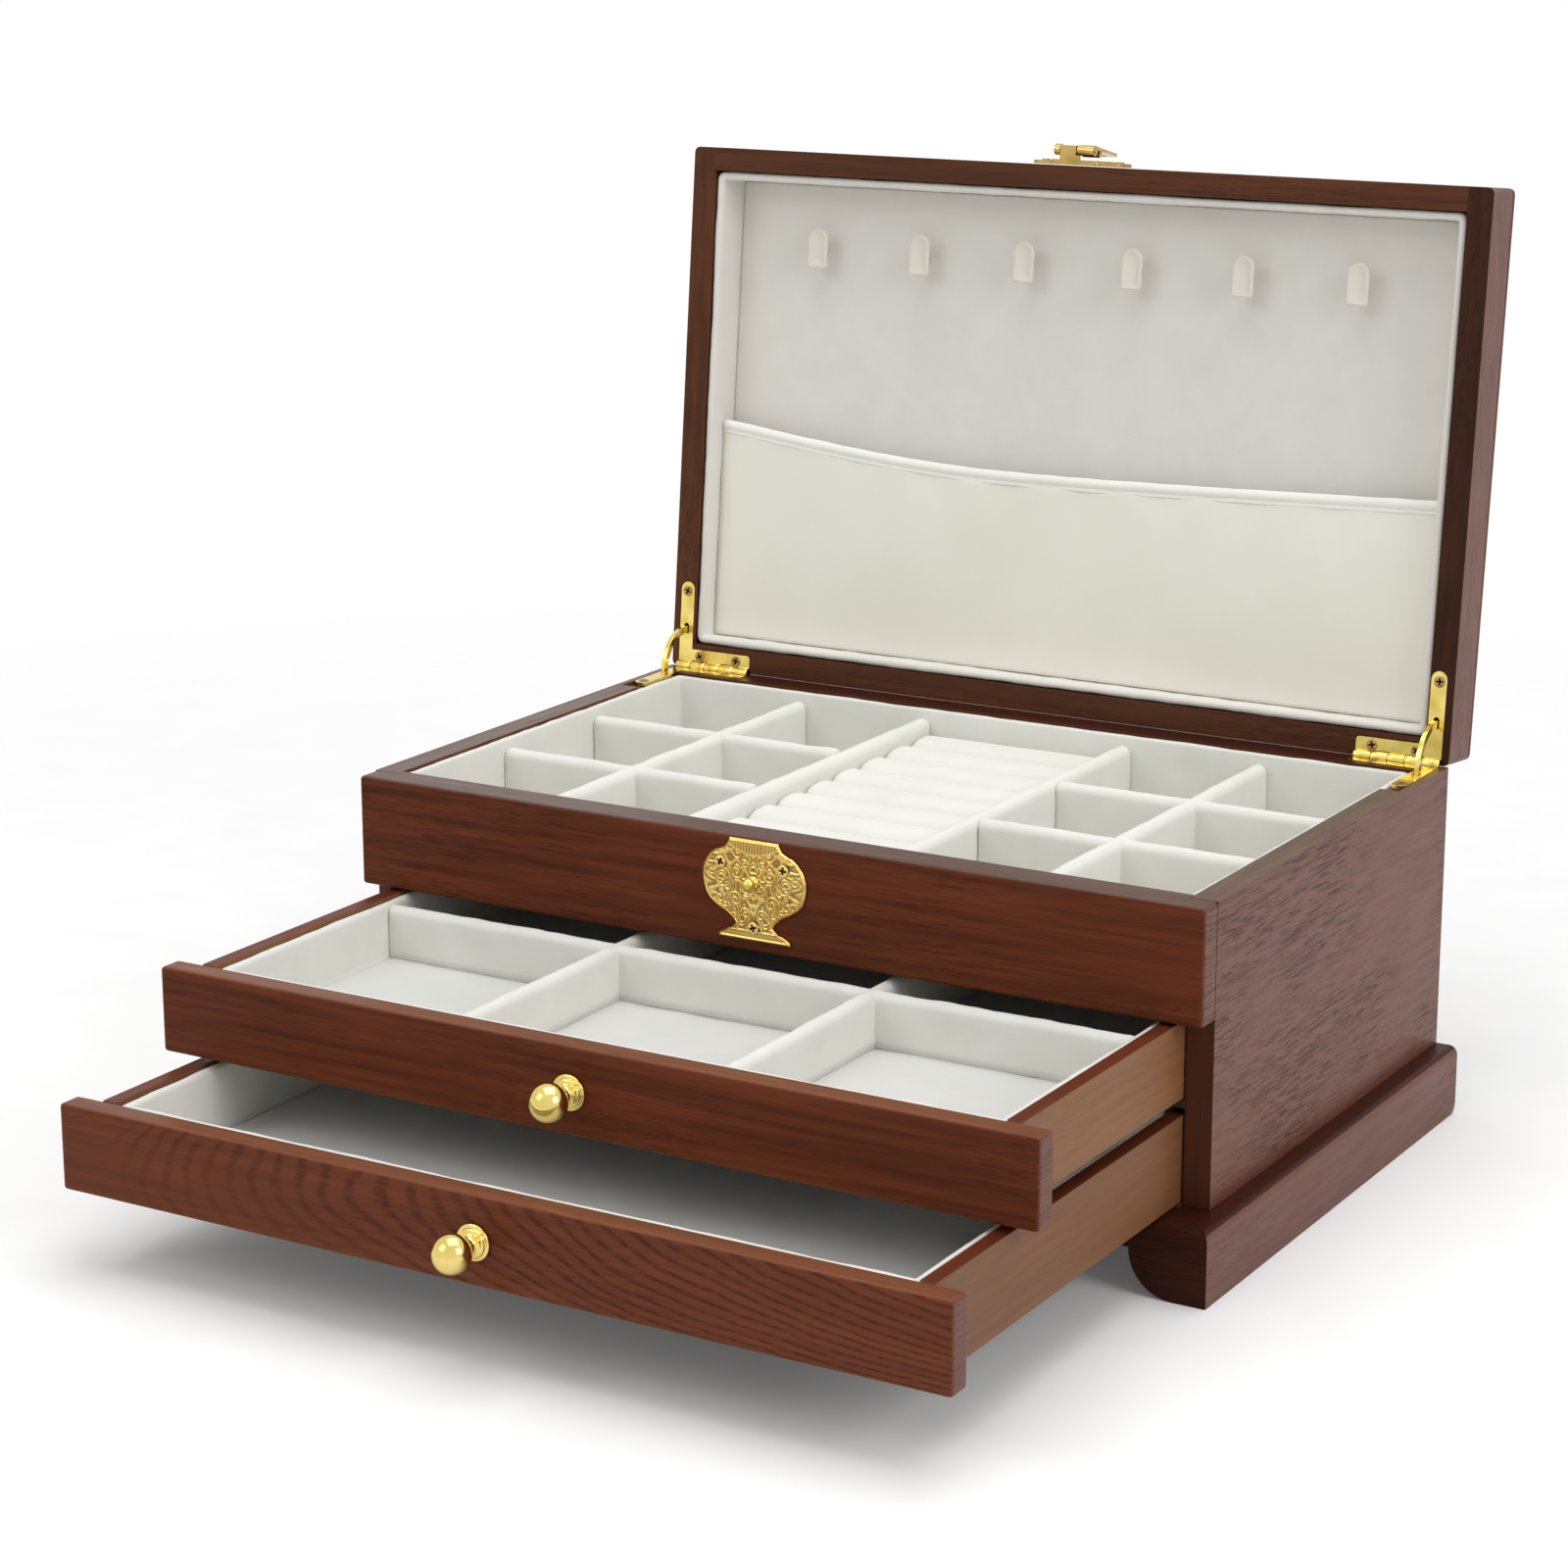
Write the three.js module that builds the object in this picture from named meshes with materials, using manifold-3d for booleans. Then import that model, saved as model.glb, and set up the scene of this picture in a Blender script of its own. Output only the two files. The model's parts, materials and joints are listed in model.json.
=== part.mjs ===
// A tiered wooden jewelry box with its lid open and both drawers pulled out.
// All sizes are in millimetres. +X is to the box's right as seen from the front, +Y to the back, +Z up.
// Inside the model the fascia's front face is the plane y = 0 and the floor is z = 0.
import * as THREE from 'three';
import { mergeVertices } from 'three/addons/utils/BufferGeometryUtils.js';
import { RoundedBoxGeometry } from 'three/addons/geometries/RoundedBoxGeometry.js';
import Module from 'manifold-3d';

const wasm = await Module();
wasm.setup();

// Fits
const glueGap = 0.1;
const seatGap = 0.3;
const runGap = 0.3;
const overrun = 5;

// Case
const caseWidth = 300;
const caseDepth = 189;
const sideThickness = 8.8;
const backThickness = 9.9;
const frontThickness = 8.5;
const fasciaTongue = 3.4;
const fasciaHeight = 36.2;
const fasciaGap = 1;
const frontEdgeRadius = 1.2;
const shelfThickness = 3;
const bottomThickness = 3.5;
const trayBoardThickness = 3;
const trayBoardRise = 1.7;

// Plinth
const plinthHeight = 23;
const plinthSideProud = 7.5;
const plinthFrontProud = 9.3;
const plinthRailThickness = 16;
const plinthEdgeRadius = 3;
const plinthHeelRadius = 4;
const footWidth = 10.5;
const footCurveRadius = 14.5;

// Drawers
const drawerFrontHeight = 27;
const drawerFrontSpacing = 2.3;
const drawerFloorGap = 1;
const drawerSideGap = 0.7;
const drawerBackGap = 1.1;
const drawerWallThickness = 5;
const drawerBottomThickness = 3;
const drawerBottomRise = 0.5;
const upperSideRise = 3;
const lowerSideRise = 0;
const upperDrawerOut = 102;
const lowerDrawerOut = 150;
const drawerLiningWall = 3.2;
const drawerLiningFloor = 1.6;
const drawerLiningInset = 0.8;
const drawerDividerThickness = 5.4;
const drawerDividerInset = 1.5;
const drawerCrossDividerPlace = 94;
const drawerLongDividerPlace = 45.6;

// Knobs
const knobFlangeRadius = 5.5;
const knobFlangeThickness = 1.3;
const knobStepRadius = 4.4;
const knobStepThickness = 0.9;
const knobNeckRadius = 2.2;
const knobBallRadius = 5.8;
const knobBallPlace = 11;

// Tray
const liningWall = 2.2;
const liningFloor = 2;
const liningInset = 0.7;
const trayDividerThickness = 6;
const trayDividerInset = 4;
const innerDividerPlace = 38.7;
const ringRollCount = 9;
const ringRollInset = 8;
const ringRollHeight = 4.6;

// Lid
const lidGap = 0.6;
const lidSetback = 2;
const lidThickness = 21;
const lidTopThickness = 3.5;
const lidSideRail = 8.6;
const lidFrontRail = 8;
const lidBackRail = 8.5;
const lidEdgeRadius = 2;
const lidOpenAngle = THREE.MathUtils.degToRad(95.7);
const lidLiningWall = 2.8;
const lidLiningFloor = 1.8;
const lidLiningInset = 1.2;
const hookSpacing = 41;
const hookCount = 6;
const hookWidth = 7;
const hookHeight = 14;
const hookEdgeDistance = 33.5;
const hookTabThickness = 2.2;
const hookStandoff = 6.8;
const hookStemHeight = 4;
const pocketDepthBelowRim = 8.6;
const pocketClothThickness = 1.2;
const pocketBandHeight = 4;
const pocketBandThickness = 2.6;
const pocketLeftHeight = 86.5;
const pocketMiddleHeight = 77.5;
const pocketRightHeight = 81.5;
const pocketMiddleShare = 0.38;

// Hinges: a leaf on each rim, five knuckles on one pin, and a curved stay on each side
const hingeLength = 30;
const hingeEdgeInset = 2.7;
const hingeBarrelRadius = 1.9;
const hingePinRadius = 1;
const hingeBoreRadius = 1.12;
const hingeSeamClearance = 0.02;
const knuckleCount = 5;
const knuckleGap = 0.3;
const leafThickness = 1.2;
const leafBackDepth = 6.5;
const leafArmWidth = 5.5;
const leafArmLength = 31;
const leafCornerRadius = 1.2;
const leafFit = 0.3;
const leafSlope = 6;
const stayRadius = 13.4;
const stayWidth = 2.6;
const stayThickness = 1.5;
const stayInset = 2.7;
const stayEmbedAngle = THREE.MathUtils.degToRad(6);
const stayPocketAngle = THREE.MathUtils.degToRad(4);
const keyholeRadius = 0.95;

// Catch on the fascia
const escutcheonThickness = 1;
const escutcheonHalfWidth = 18.5;
const escutcheonHeight = 32;
const escutcheonDrop = 0.6;
const escutcheonShares = [
  [0.47, 1], [0.49, 0.965], [0.57, 0.905], [0.79, 0.85], [0.95, 0.73], [1, 0.595], [0.93, 0.425],
  [0.76, 0.33], [0.55, 0.27], [0.385, 0.19], [0.39, 0.13], [0.66, 0.05], [0.69, 0],
];
const studDrop = 13.7;
const studNeckRadius = 1.1;
const studBallRadius = 1.7;
const studBallPlace = 2.7;

// Hasp on the lid's front face
const haspWidth = 33.6;
const haspHeight = 16;
const haspEdgeInset = 1;
const haspWingThickness = 1.2;
const haspCentreThickness = 1.7;
const haspCentreWidth = 16;
const haspWingShares = [
  [0.44, 0], [0.6, 0.12], [0.82, 0.06], [1, 0.24], [0.9, 0.45], [1, 0.66], [0.8, 0.92], [0.6, 0.86], [0.44, 1],
];
const haspBlockWidth = 5.9;
const haspBlockDepth = 4;
const haspBlockHeight = 6.8;
const haspBlockShift = 2.25;
const haspPinStandoff = 5.3;
const haspPinRadius = 0.9;
const haspBoreRadius = 1;
const haspPinHeadRadius = 1.9;
const haspPinHeadLength = 2.2;
const haspKnuckleRadius = 1.8;
const haspKnuckleWidth = 6;
const flapWidth = 13;
const flapThickness = 1;
const flapOffset = 1.2;
const flapNotchDepth = 3.3;
const flapTipLength = 3.4;
const flapHoleRadius = 2.5;
const flapLoopRadius = 1;
const flapLoopPlace = 12;
const flapFoldAngle = THREE.MathUtils.degToRad(187);

// Facets round a full turn, and steps along a free curve
const roundSegments = 24;
const smallRoundSegments = 20;
const curveSegments = 6;
const splineSteps = 26;
const edgeSegments = 2;

// Heights, widths and depths worked out from the sizes above
const lowerFrontBottom = plinthHeight + drawerFloorGap;
const upperFrontBottom = lowerFrontBottom + drawerFrontHeight + drawerFrontSpacing;
const fasciaBottom = upperFrontBottom + drawerFrontHeight + fasciaGap;
const rimHeight = fasciaBottom + fasciaHeight;
const halfCase = caseWidth / 2;
const innerHalf = halfCase - sideThickness;
const fasciaBack = frontThickness + fasciaTongue;
const backInner = caseDepth - backThickness;
const shelfTop = upperFrontBottom + upperSideRise - runGap;
const bottomBoardTop = lowerFrontBottom + lowerSideRise - runGap;
const trayBoardTop = fasciaBottom + trayBoardRise + trayBoardThickness;
const lidBottom = rimHeight + lidGap;
const lidInnerHalf = halfCase - lidSideRail;
const lidInnerFront = lidSetback + lidFrontRail;
const lidInnerBack = caseDepth - lidBackRail;
const lidFrameTop = lidBottom + lidThickness - lidTopThickness;
const outerDividerPlace = (innerDividerPlace + innerHalf - glueGap - liningWall) / 2;
const studHeight = rimHeight - studDrop;
const hingeOuterPlace = halfCase - hingeEdgeInset;
const hingeInnerPlace = hingeOuterPlace - hingeLength;
// With the lid open, its lower edge comes to rest just behind and above the rim's back edge.
const hingeY = caseDepth + hingeSeamClearance - lidGap / 2 / Math.tan(lidOpenAngle / 2);
const hingeZ = rimHeight + lidGap / 2;

const frontWood = new THREE.MeshStandardMaterial({ color: 0x5c2a1b, roughness: 0.4, metalness: 0 });
const lidWood = new THREE.MeshStandardMaterial({ color: 0x3c2019, roughness: 0.4, metalness: 0 });
const drawerWood = new THREE.MeshStandardMaterial({ color: 0x8c6446, roughness: 0.6, metalness: 0 });
const boardWood = new THREE.MeshStandardMaterial({ color: 0x4a3024, roughness: 0.7, metalness: 0 });
const velvet = new THREE.MeshStandardMaterial({ color: 0xe4e2dc, roughness: 0.95, metalness: 0 });
const satinCloth = new THREE.MeshStandardMaterial({ color: 0xeae9e3, roughness: 0.7, metalness: 0 });
const brass = new THREE.MeshStandardMaterial({ color: 0xd2b45a, roughness: 0.25, metalness: 1 });

// Turns a closed geometry into a solid that can be joined and cut.
function toSolid(geometry) {
  const bare = geometry.clone();
  bare.deleteAttribute('normal');
  bare.deleteAttribute('uv');
  const merged = mergeVertices(bare);
  return new wasm.Manifold(new wasm.Mesh({
    numProp: 3,
    vertProperties: new Float32Array(merged.attributes.position.array),
    triVerts: new Uint32Array(merged.index.array),
  }));
}

// Turns a solid back into a flat-shaded geometry.
function toGeometry(solid) {
  const mesh = solid.getMesh();
  const geometry = new THREE.BufferGeometry();
  geometry.setAttribute('position', new THREE.BufferAttribute(new Float32Array(mesh.vertProperties), mesh.numProp));
  geometry.setIndex(new THREE.BufferAttribute(new Uint32Array(mesh.triVerts), 1));
  const flat = geometry.toNonIndexed();
  flat.computeVertexNormals();
  return flat;
}

// Cuts each tool geometry out of the body geometry.
function cut(body, tools) {
  return toGeometry(tools.reduce((solid, tool) => solid.subtract(toSolid(tool)), toSolid(body)));
}

// Joins geometries that touch into one body.
function join(bodies) {
  return toGeometry(bodies.slice(1).reduce((solid, body) => solid.add(toSolid(body)), toSolid(bodies[0])));
}

function overlapOf(bodies) {
  return toGeometry(bodies.slice(1).reduce((solid, body) => solid.intersect(toSolid(body)), toSolid(bodies[0])));
}

// A plain block between two corners.
function block(x0, x1, y0, y1, z0, z1) {
  const geometry = new THREE.BoxGeometry(x1 - x0, y1 - y0, z1 - z0);
  return geometry.translate((x0 + x1) / 2, (y0 + y1) / 2, (z0 + z1) / 2);
}

// A block between two corners with every edge rounded.
function softBlock(x0, x1, y0, y1, z0, z1, radius) {
  const geometry = new RoundedBoxGeometry(x1 - x0, y1 - y0, z1 - z0, edgeSegments, radius);
  return geometry.translate((x0 + x1) / 2, (y0 + y1) / 2, (z0 + z1) / 2);
}

// An open-topped or open-bottomed liner: a block with a pocket cut into it from one side.
function liner(x0, x1, y0, y1, z0, z1, wall, floor, openUp) {
  const low = openUp ? z0 + floor : z0 - overrun;
  const high = openUp ? z1 + overrun : z1 - floor;
  return cut(block(x0, x1, y0, y1, z0, z1), [block(x0 + wall, x1 - wall, y0 + wall, y1 - wall, low, high)]);
}

// Extrudes an outline drawn in the plan (x, y) from z0 up to z1.
function alongZ(shape, z0, z1) {
  return new THREE.ExtrudeGeometry(shape, { depth: z1 - z0, bevelEnabled: false, curveSegments }).translate(0, 0, z0);
}

// Extrudes an outline drawn in the front view (x, z) from y0 back to y1.
function alongY(shape, y0, y1) {
  const basis = new THREE.Matrix4().makeBasis(
    new THREE.Vector3(1, 0, 0), new THREE.Vector3(0, 0, 1), new THREE.Vector3(0, -1, 0));
  const geometry = new THREE.ExtrudeGeometry(shape, { depth: y1 - y0, bevelEnabled: false, curveSegments });
  return geometry.applyMatrix4(basis).translate(0, y1, 0);
}

// Extrudes an outline drawn in the side view (y, z) from x0 to x1.
function alongX(shape, x0, x1) {
  const basis = new THREE.Matrix4().makeBasis(
    new THREE.Vector3(0, 1, 0), new THREE.Vector3(0, 0, 1), new THREE.Vector3(1, 0, 0));
  const geometry = new THREE.ExtrudeGeometry(shape, { depth: x1 - x0, bevelEnabled: false, curveSegments });
  return geometry.applyMatrix4(basis).translate(x0, 0, 0);
}

// A round bar along X between x0 and x1 with its axis at (y, z).
function barAlongX(radius, x0, x1, y, z, segments = smallRoundSegments) {
  const geometry = new THREE.CylinderGeometry(radius, radius, x1 - x0, segments);
  return geometry.rotateZ(Math.PI / 2).translate((x0 + x1) / 2, y, z);
}

function polygon(points) {
  return new THREE.Shape(points.map(([a, b]) => new THREE.Vector2(a, b)));
}

// A mirrored copy about x = 0, with its faces turned out again.
function mirrored(geometry) {
  const copy = geometry.index ? geometry.toNonIndexed() : geometry.clone();
  const places = copy.attributes.position;
  for (let corner = 0; corner < places.count; corner += 3) {
    const [a, b, c] = [0, 1, 2].map((step) => new THREE.Vector3().fromBufferAttribute(places, corner + step));
    places.setXYZ(corner, -a.x, a.y, a.z);
    places.setXYZ(corner + 1, -c.x, c.y, c.z);
    places.setXYZ(corner + 2, -b.x, b.y, b.z);
  }
  copy.computeVertexNormals();
  return copy;
}

function addPart(group, name, geometry, material) {
  const mesh = new THREE.Mesh(geometry, material);
  mesh.name = name;
  group.add(mesh);
}

// The side view of a divider: a strip with half-height notches where others cross it.
function dividerOutline(start, end, bottom, top, notches, notchWidth, fromTop) {
  const middle = (bottom + top) / 2;
  const level = fromTop ? middle - glueGap : middle + glueGap;
  const edge = notches.flatMap((place) => [
    [place - notchWidth / 2, fromTop ? top : bottom], [place - notchWidth / 2, level],
    [place + notchWidth / 2, level], [place + notchWidth / 2, fromTop ? top : bottom]]);
  return fromTop
    ? polygon([[start, bottom], [end, bottom], [end, top], ...edge.reverse(), [start, top]])
    : polygon([[start, bottom], ...edge, [end, bottom], [end, top], [start, top]]);
}

// The outline of an L-shaped hinge leaf on the right side, in plan, grown by a margin.
function leafOutline(margin) {
  const outer = hingeOuterPlace + margin;
  const inner = hingeInnerPlace - margin;
  const armInner = hingeOuterPlace - leafArmWidth - margin;
  const front = caseDepth - leafBackDepth - margin;
  const roundPlace = caseDepth - leafArmLength + leafArmWidth / 2;
  const shape = new THREE.Shape();
  shape.moveTo(inner, caseDepth);
  shape.lineTo(inner, front + leafCornerRadius);
  shape.absarc(inner + leafCornerRadius, front + leafCornerRadius, leafCornerRadius, Math.PI, Math.PI * 1.5, false);
  shape.lineTo(armInner, front);
  shape.lineTo(armInner, roundPlace);
  shape.absarc((armInner + outer) / 2, roundPlace, (outer - armInner) / 2, Math.PI, 2 * Math.PI, false);
  shape.lineTo(outer, caseDepth);
  return shape;
}

// The place of one knuckle along the barrel.
function knuckleSpan(index) {
  const pitch = (hingeOuterPlace - hingeInnerPlace) / knuckleCount;
  const start = hingeInnerPlace + index * pitch;
  return [start + knuckleGap / 2, start + pitch - knuckleGap / 2];
}

// A ring sector about the hinge axis in the side view, its angles measured from straight ahead upwards.
function staySector(width, from, to) {
  const shape = new THREE.Shape();
  const turn = (angle) => Math.PI - angle;
  shape.absarc(hingeY, hingeZ, stayRadius + width / 2, turn(from), turn(to), true);
  shape.absarc(hingeY, hingeZ, stayRadius - width / 2, turn(to), turn(from), false);
  return shape;
}

const stayHalfAngle = lidOpenAngle / 2 + stayEmbedAngle;
const stayOuter = hingeOuterPlace - stayInset + stayThickness / 2;
const stayInner = stayOuter - stayThickness;

// The curved pocket that hides the stay, either below the rim or above it.
function stayPocket(side) {
  const reach = (stayHalfAngle + stayPocketAngle) * side;
  const near = -stayPocketAngle * side * 2;
  const width = stayWidth + 2 * leafFit;
  const sector = staySector(width, Math.min(reach, near), Math.max(reach, near));
  return alongX(sector, stayInner - leafFit, stayOuter + leafFit);
}

function barrelRecess() {
  return barAlongX(hingeBarrelRadius + leafFit, hingeInnerPlace - leafFit, hingeOuterPlace + leafFit, hingeY, hingeZ);
}

// One leaf of the right hinge with its own knuckles; the case leaf also holds the pin.
function hingeLeaf(onLid) {
  const low = onLid ? lidBottom : rimHeight - leafThickness;
  const own = (index) => (index % 2 === 0) === onLid;
  const indices = Array.from({ length: knuckleCount }, (_, index) => index);
  const clearances = indices.filter((index) => !own(index)).map((index) => {
    const [start, end] = knuckleSpan(index);
    return barAlongX(hingeBarrelRadius + leafFit, start - knuckleGap, end + knuckleGap, hingeY, hingeZ);
  });
  const keyhole = new THREE.CylinderGeometry(keyholeRadius, keyholeRadius, 4 * leafThickness, smallRoundSegments);
  keyhole.rotateX(Math.PI / 2).translate((stayInner + stayOuter) / 2, hingeY - stayRadius - stayWidth / 2, low);
  const slot = onLid ? [stayPocket(1), keyhole] : [stayPocket(-1)];
  const plate = cut(alongZ(leafOutline(0), low, low + leafThickness), [...clearances, ...slot]);
  const knuckles = indices.filter(own).map((index) => {
    const [start, end] = knuckleSpan(index);
    return barAlongX(hingeBarrelRadius, start, end, hingeY, hingeZ);
  });
  const whole = join([plate, ...knuckles]);
  return onLid
    ? cut(whole, [barAlongX(hingeBoreRadius, hingeInnerPlace - overrun, hingeOuterPlace + overrun, hingeY, hingeZ)])
    : join([whole, barAlongX(hingePinRadius, hingeInnerPlace, hingeOuterPlace, hingeY, hingeZ)]);
}

// Case walls and boards
function addCase(group) {
  const seat = frontThickness + seatGap;
  const recess = block(innerHalf - overrun, hingeOuterPlace + leafFit, caseDepth - leafArmLength - leafSlope,
    caseDepth + overrun, rimHeight - leafThickness - seatGap, rimHeight + overrun);
  const side = cut(block(innerHalf, halfCase, seat, caseDepth, plinthHeight + glueGap, rimHeight),
    [recess, stayPocket(-1), barrelRecess()]);
  addPart(group, 'right_side_panel', side, frontWood);
  addPart(group, 'left_side_panel', mirrored(side), frontWood);

  const backHalf = innerHalf - glueGap;
  const backRecess = block(hingeInnerPlace - leafFit, halfCase, caseDepth - leafBackDepth - leafFit,
    caseDepth + overrun, rimHeight - leafThickness - seatGap, rimHeight + overrun);
  const back = cut(block(-backHalf, backHalf, backInner, caseDepth, plinthHeight + glueGap, rimHeight),
    [backRecess, mirrored(backRecess), barrelRecess(), mirrored(barrelRecess())]);
  addPart(group, 'back_panel', back, frontWood);

  const plan = polygon([[-halfCase, 0], [halfCase, 0], [halfCase, frontThickness], [backHalf, frontThickness],
    [backHalf, fasciaBack], [-backHalf, fasciaBack], [-backHalf, frontThickness], [-halfCase, frontThickness]]);
  const round = softBlock(-halfCase, halfCase, 0, fasciaBack + overrun, fasciaBottom, rimHeight, frontEdgeRadius);
  addPart(group, 'front_fascia', overlapOf([round, alongZ(plan, fasciaBottom, rimHeight)]), frontWood);

  addPart(group, 'tray_floor_board', block(-backHalf, backHalf, fasciaBack + glueGap, backInner - glueGap,
    trayBoardTop - trayBoardThickness, trayBoardTop), boardWood);
  addPart(group, 'drawer_shelf', block(-backHalf, backHalf, seat, backInner - glueGap,
    shelfTop - shelfThickness, shelfTop), boardWood);
  const railInner = halfCase + plinthSideProud - plinthRailThickness;
  const boardHalf = Math.min(railInner, innerHalf) - glueGap;
  addPart(group, 'bottom_board', block(-boardHalf, boardHalf, plinthRailThickness - plinthFrontProud + glueGap,
    caseDepth - plinthRailThickness - glueGap, bottomBoardTop - bottomThickness, bottomBoardTop), boardWood);
}

// A rail's cross-section with a rounded top outer edge; outer and inner are places across the rail.
function railSection(outer, inner) {
  const shape = new THREE.Shape();
  const towards = Math.sign(inner - outer);
  shape.moveTo(inner, 0);
  shape.lineTo(outer, 0);
  shape.lineTo(outer, plinthHeight - plinthEdgeRadius);
  shape.absarc(outer + towards * plinthEdgeRadius, plinthHeight - plinthEdgeRadius, plinthEdgeRadius,
    towards > 0 ? Math.PI : 0, Math.PI / 2, towards > 0);
  shape.lineTo(inner, plinthHeight);
  return shape;
}

// The plinth: mitred rails, the front one cut to two bracket feet.
function addPlinth(group) {
  const outer = halfCase + plinthSideProud;
  const inner = outer - plinthRailThickness;
  const front = -plinthFrontProud;
  const frontInner = front + plinthRailThickness;
  const frontMitre = polygon([[-outer + glueGap, front], [outer - glueGap, front],
    [inner - glueGap, frontInner], [-inner + glueGap, frontInner]]);
  const archSide = outer - footWidth;
  const arch = new THREE.Shape();
  arch.moveTo(-archSide, -overrun);
  arch.lineTo(archSide, -overrun);
  arch.lineTo(archSide, 0);
  arch.absarc(archSide, footCurveRadius, footCurveRadius, Math.PI * 1.5, Math.PI, true);
  arch.lineTo(-archSide + footCurveRadius, footCurveRadius);
  arch.absarc(-archSide, footCurveRadius, footCurveRadius, 0, Math.PI * 1.5, true);
  const mitred = overlapOf([alongX(railSection(front, frontInner), -outer, outer),
    alongZ(frontMitre, -overrun, plinthHeight + overrun)]);
  addPart(group, 'plinth_front', cut(mitred, [alongY(arch, front - overrun, frontInner + overrun)]), frontWood);

  const heel = new THREE.Shape();
  heel.moveTo(front - overrun, -overrun);
  heel.lineTo(caseDepth - plinthHeelRadius, -overrun);
  heel.lineTo(caseDepth - plinthHeelRadius, 0);
  heel.absarc(caseDepth - plinthHeelRadius, plinthHeelRadius, plinthHeelRadius, -Math.PI / 2, 0, false);
  heel.lineTo(caseDepth, plinthHeight + overrun);
  heel.lineTo(front - overrun, plinthHeight + overrun);
  const sideMitre = polygon([[outer + overrun, front + glueGap - overrun], [outer + overrun, caseDepth],
    [inner, caseDepth], [inner, frontInner + glueGap]]);
  const side = overlapOf([alongY(railSection(outer, inner), front, caseDepth),
    alongZ(sideMitre, -overrun, plinthHeight + overrun), alongX(heel, inner - overrun, outer + overrun)]);
  addPart(group, 'plinth_right', side, frontWood);
  addPart(group, 'plinth_left', mirrored(side), frontWood);
  addPart(group, 'plinth_back', block(-inner + glueGap, inner - glueGap, caseDepth - plinthRailThickness, caseDepth,
    0, plinthHeight), frontWood);
}

// The fixed tray under the lid: velvet liner, dividers and ring rolls
function addTray(group) {
  const half = innerHalf - glueGap;
  const front = fasciaBack + glueGap;
  const back = backInner - glueGap;
  const floor = trayBoardTop + glueGap;
  addPart(group, 'tray_lining',
    liner(-half, half, front, back, floor, rimHeight - liningInset, liningWall, liningFloor, true), velvet);

  const low = floor + liningFloor + glueGap;
  const high = rimHeight - trayDividerInset;
  const start = front + liningWall + glueGap;
  const end = back - liningWall - glueGap;
  const sideEnd = half - liningWall - glueGap;
  const third = (end - start) / 3;
  const crossPlaces = [start + third, end - third];
  const notch = trayDividerThickness + 2 * glueGap;
  const longs = [['left_outer', -outerDividerPlace], ['left_inner', -innerDividerPlace],
    ['right_inner', innerDividerPlace], ['right_outer', outerDividerPlace]];
  for (const [name, place] of longs) {
    const notches = Math.abs(place) === outerDividerPlace ? crossPlaces : [];
    const outline = dividerOutline(start, end, low, high, notches, notch, true);
    addPart(group, `tray_long_divider_${name}`,
      alongX(outline, place - trayDividerThickness / 2, place + trayDividerThickness / 2), velvet);
  }
  const crossStart = innerDividerPlace + trayDividerThickness / 2 + glueGap;
  for (const [name, place] of [['front', crossPlaces[0]], ['back', crossPlaces[1]]]) {
    const outline = dividerOutline(crossStart, sideEnd, low, high, [outerDividerPlace], notch, false);
    const divider = alongY(outline, place - trayDividerThickness / 2, place + trayDividerThickness / 2);
    addPart(group, `tray_cross_divider_right_${name}`, divider, velvet);
    addPart(group, `tray_cross_divider_left_${name}`, mirrored(divider), velvet);
  }
  addRingRolls(group, start, end, low);
}

// Foam rolls side by side: a row of half ellipses on one base.
function addRingRolls(group, start, end, low) {
  const half = innerDividerPlace - trayDividerThickness / 2 - glueGap;
  const pitch = (end - start) / ringRollCount;
  const valley = rimHeight - ringRollInset - ringRollHeight;
  const shape = new THREE.Shape();
  shape.moveTo(end, valley);
  shape.lineTo(end, low);
  shape.lineTo(start, low);
  shape.lineTo(start, valley);
  for (let roll = 0; roll < ringRollCount; roll += 1) {
    shape.absellipse(start + (roll + 0.5) * pitch, valley, pitch / 2, ringRollHeight, Math.PI, 0, true);
  }
  addPart(group, 'ring_roll_pad', alongX(shape, -half, half), velvet);
}

// A turned shape standing out of a vertical face towards the front, from its half profile (radius, height).
function turnedForward(profile, segments, y, z) {
  const points = profile.map(([radius, height]) => new THREE.Vector2(radius, height));
  return new THREE.LatheGeometry(points, segments).rotateX(Math.PI).translate(0, y, z);
}

// Points round a ball's profile from its neck to its tip.
function ballProfile(radius, place, neckRadius) {
  const from = Math.asin(neckRadius / radius);
  return Array.from({ length: curveSegments + 1 }, (_, step) => {
    const angle = from + (Math.PI - from) * (step / curveSegments);
    return [step === curveSegments ? 0 : radius * Math.sin(angle), place - radius * Math.cos(angle)];
  });
}

function knob() {
  const step = knobFlangeThickness + knobStepThickness;
  const profile = [[0, 0], [knobFlangeRadius, 0], [knobFlangeRadius, knobFlangeThickness],
    [knobStepRadius, knobFlangeThickness], [knobStepRadius, step], [knobNeckRadius, step + knobStepThickness],
    ...ballProfile(knobBallRadius, knobBallPlace, knobNeckRadius)];
  return turnedForward(profile, roundSegments, -glueGap, drawerFrontHeight / 2);
}

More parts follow.
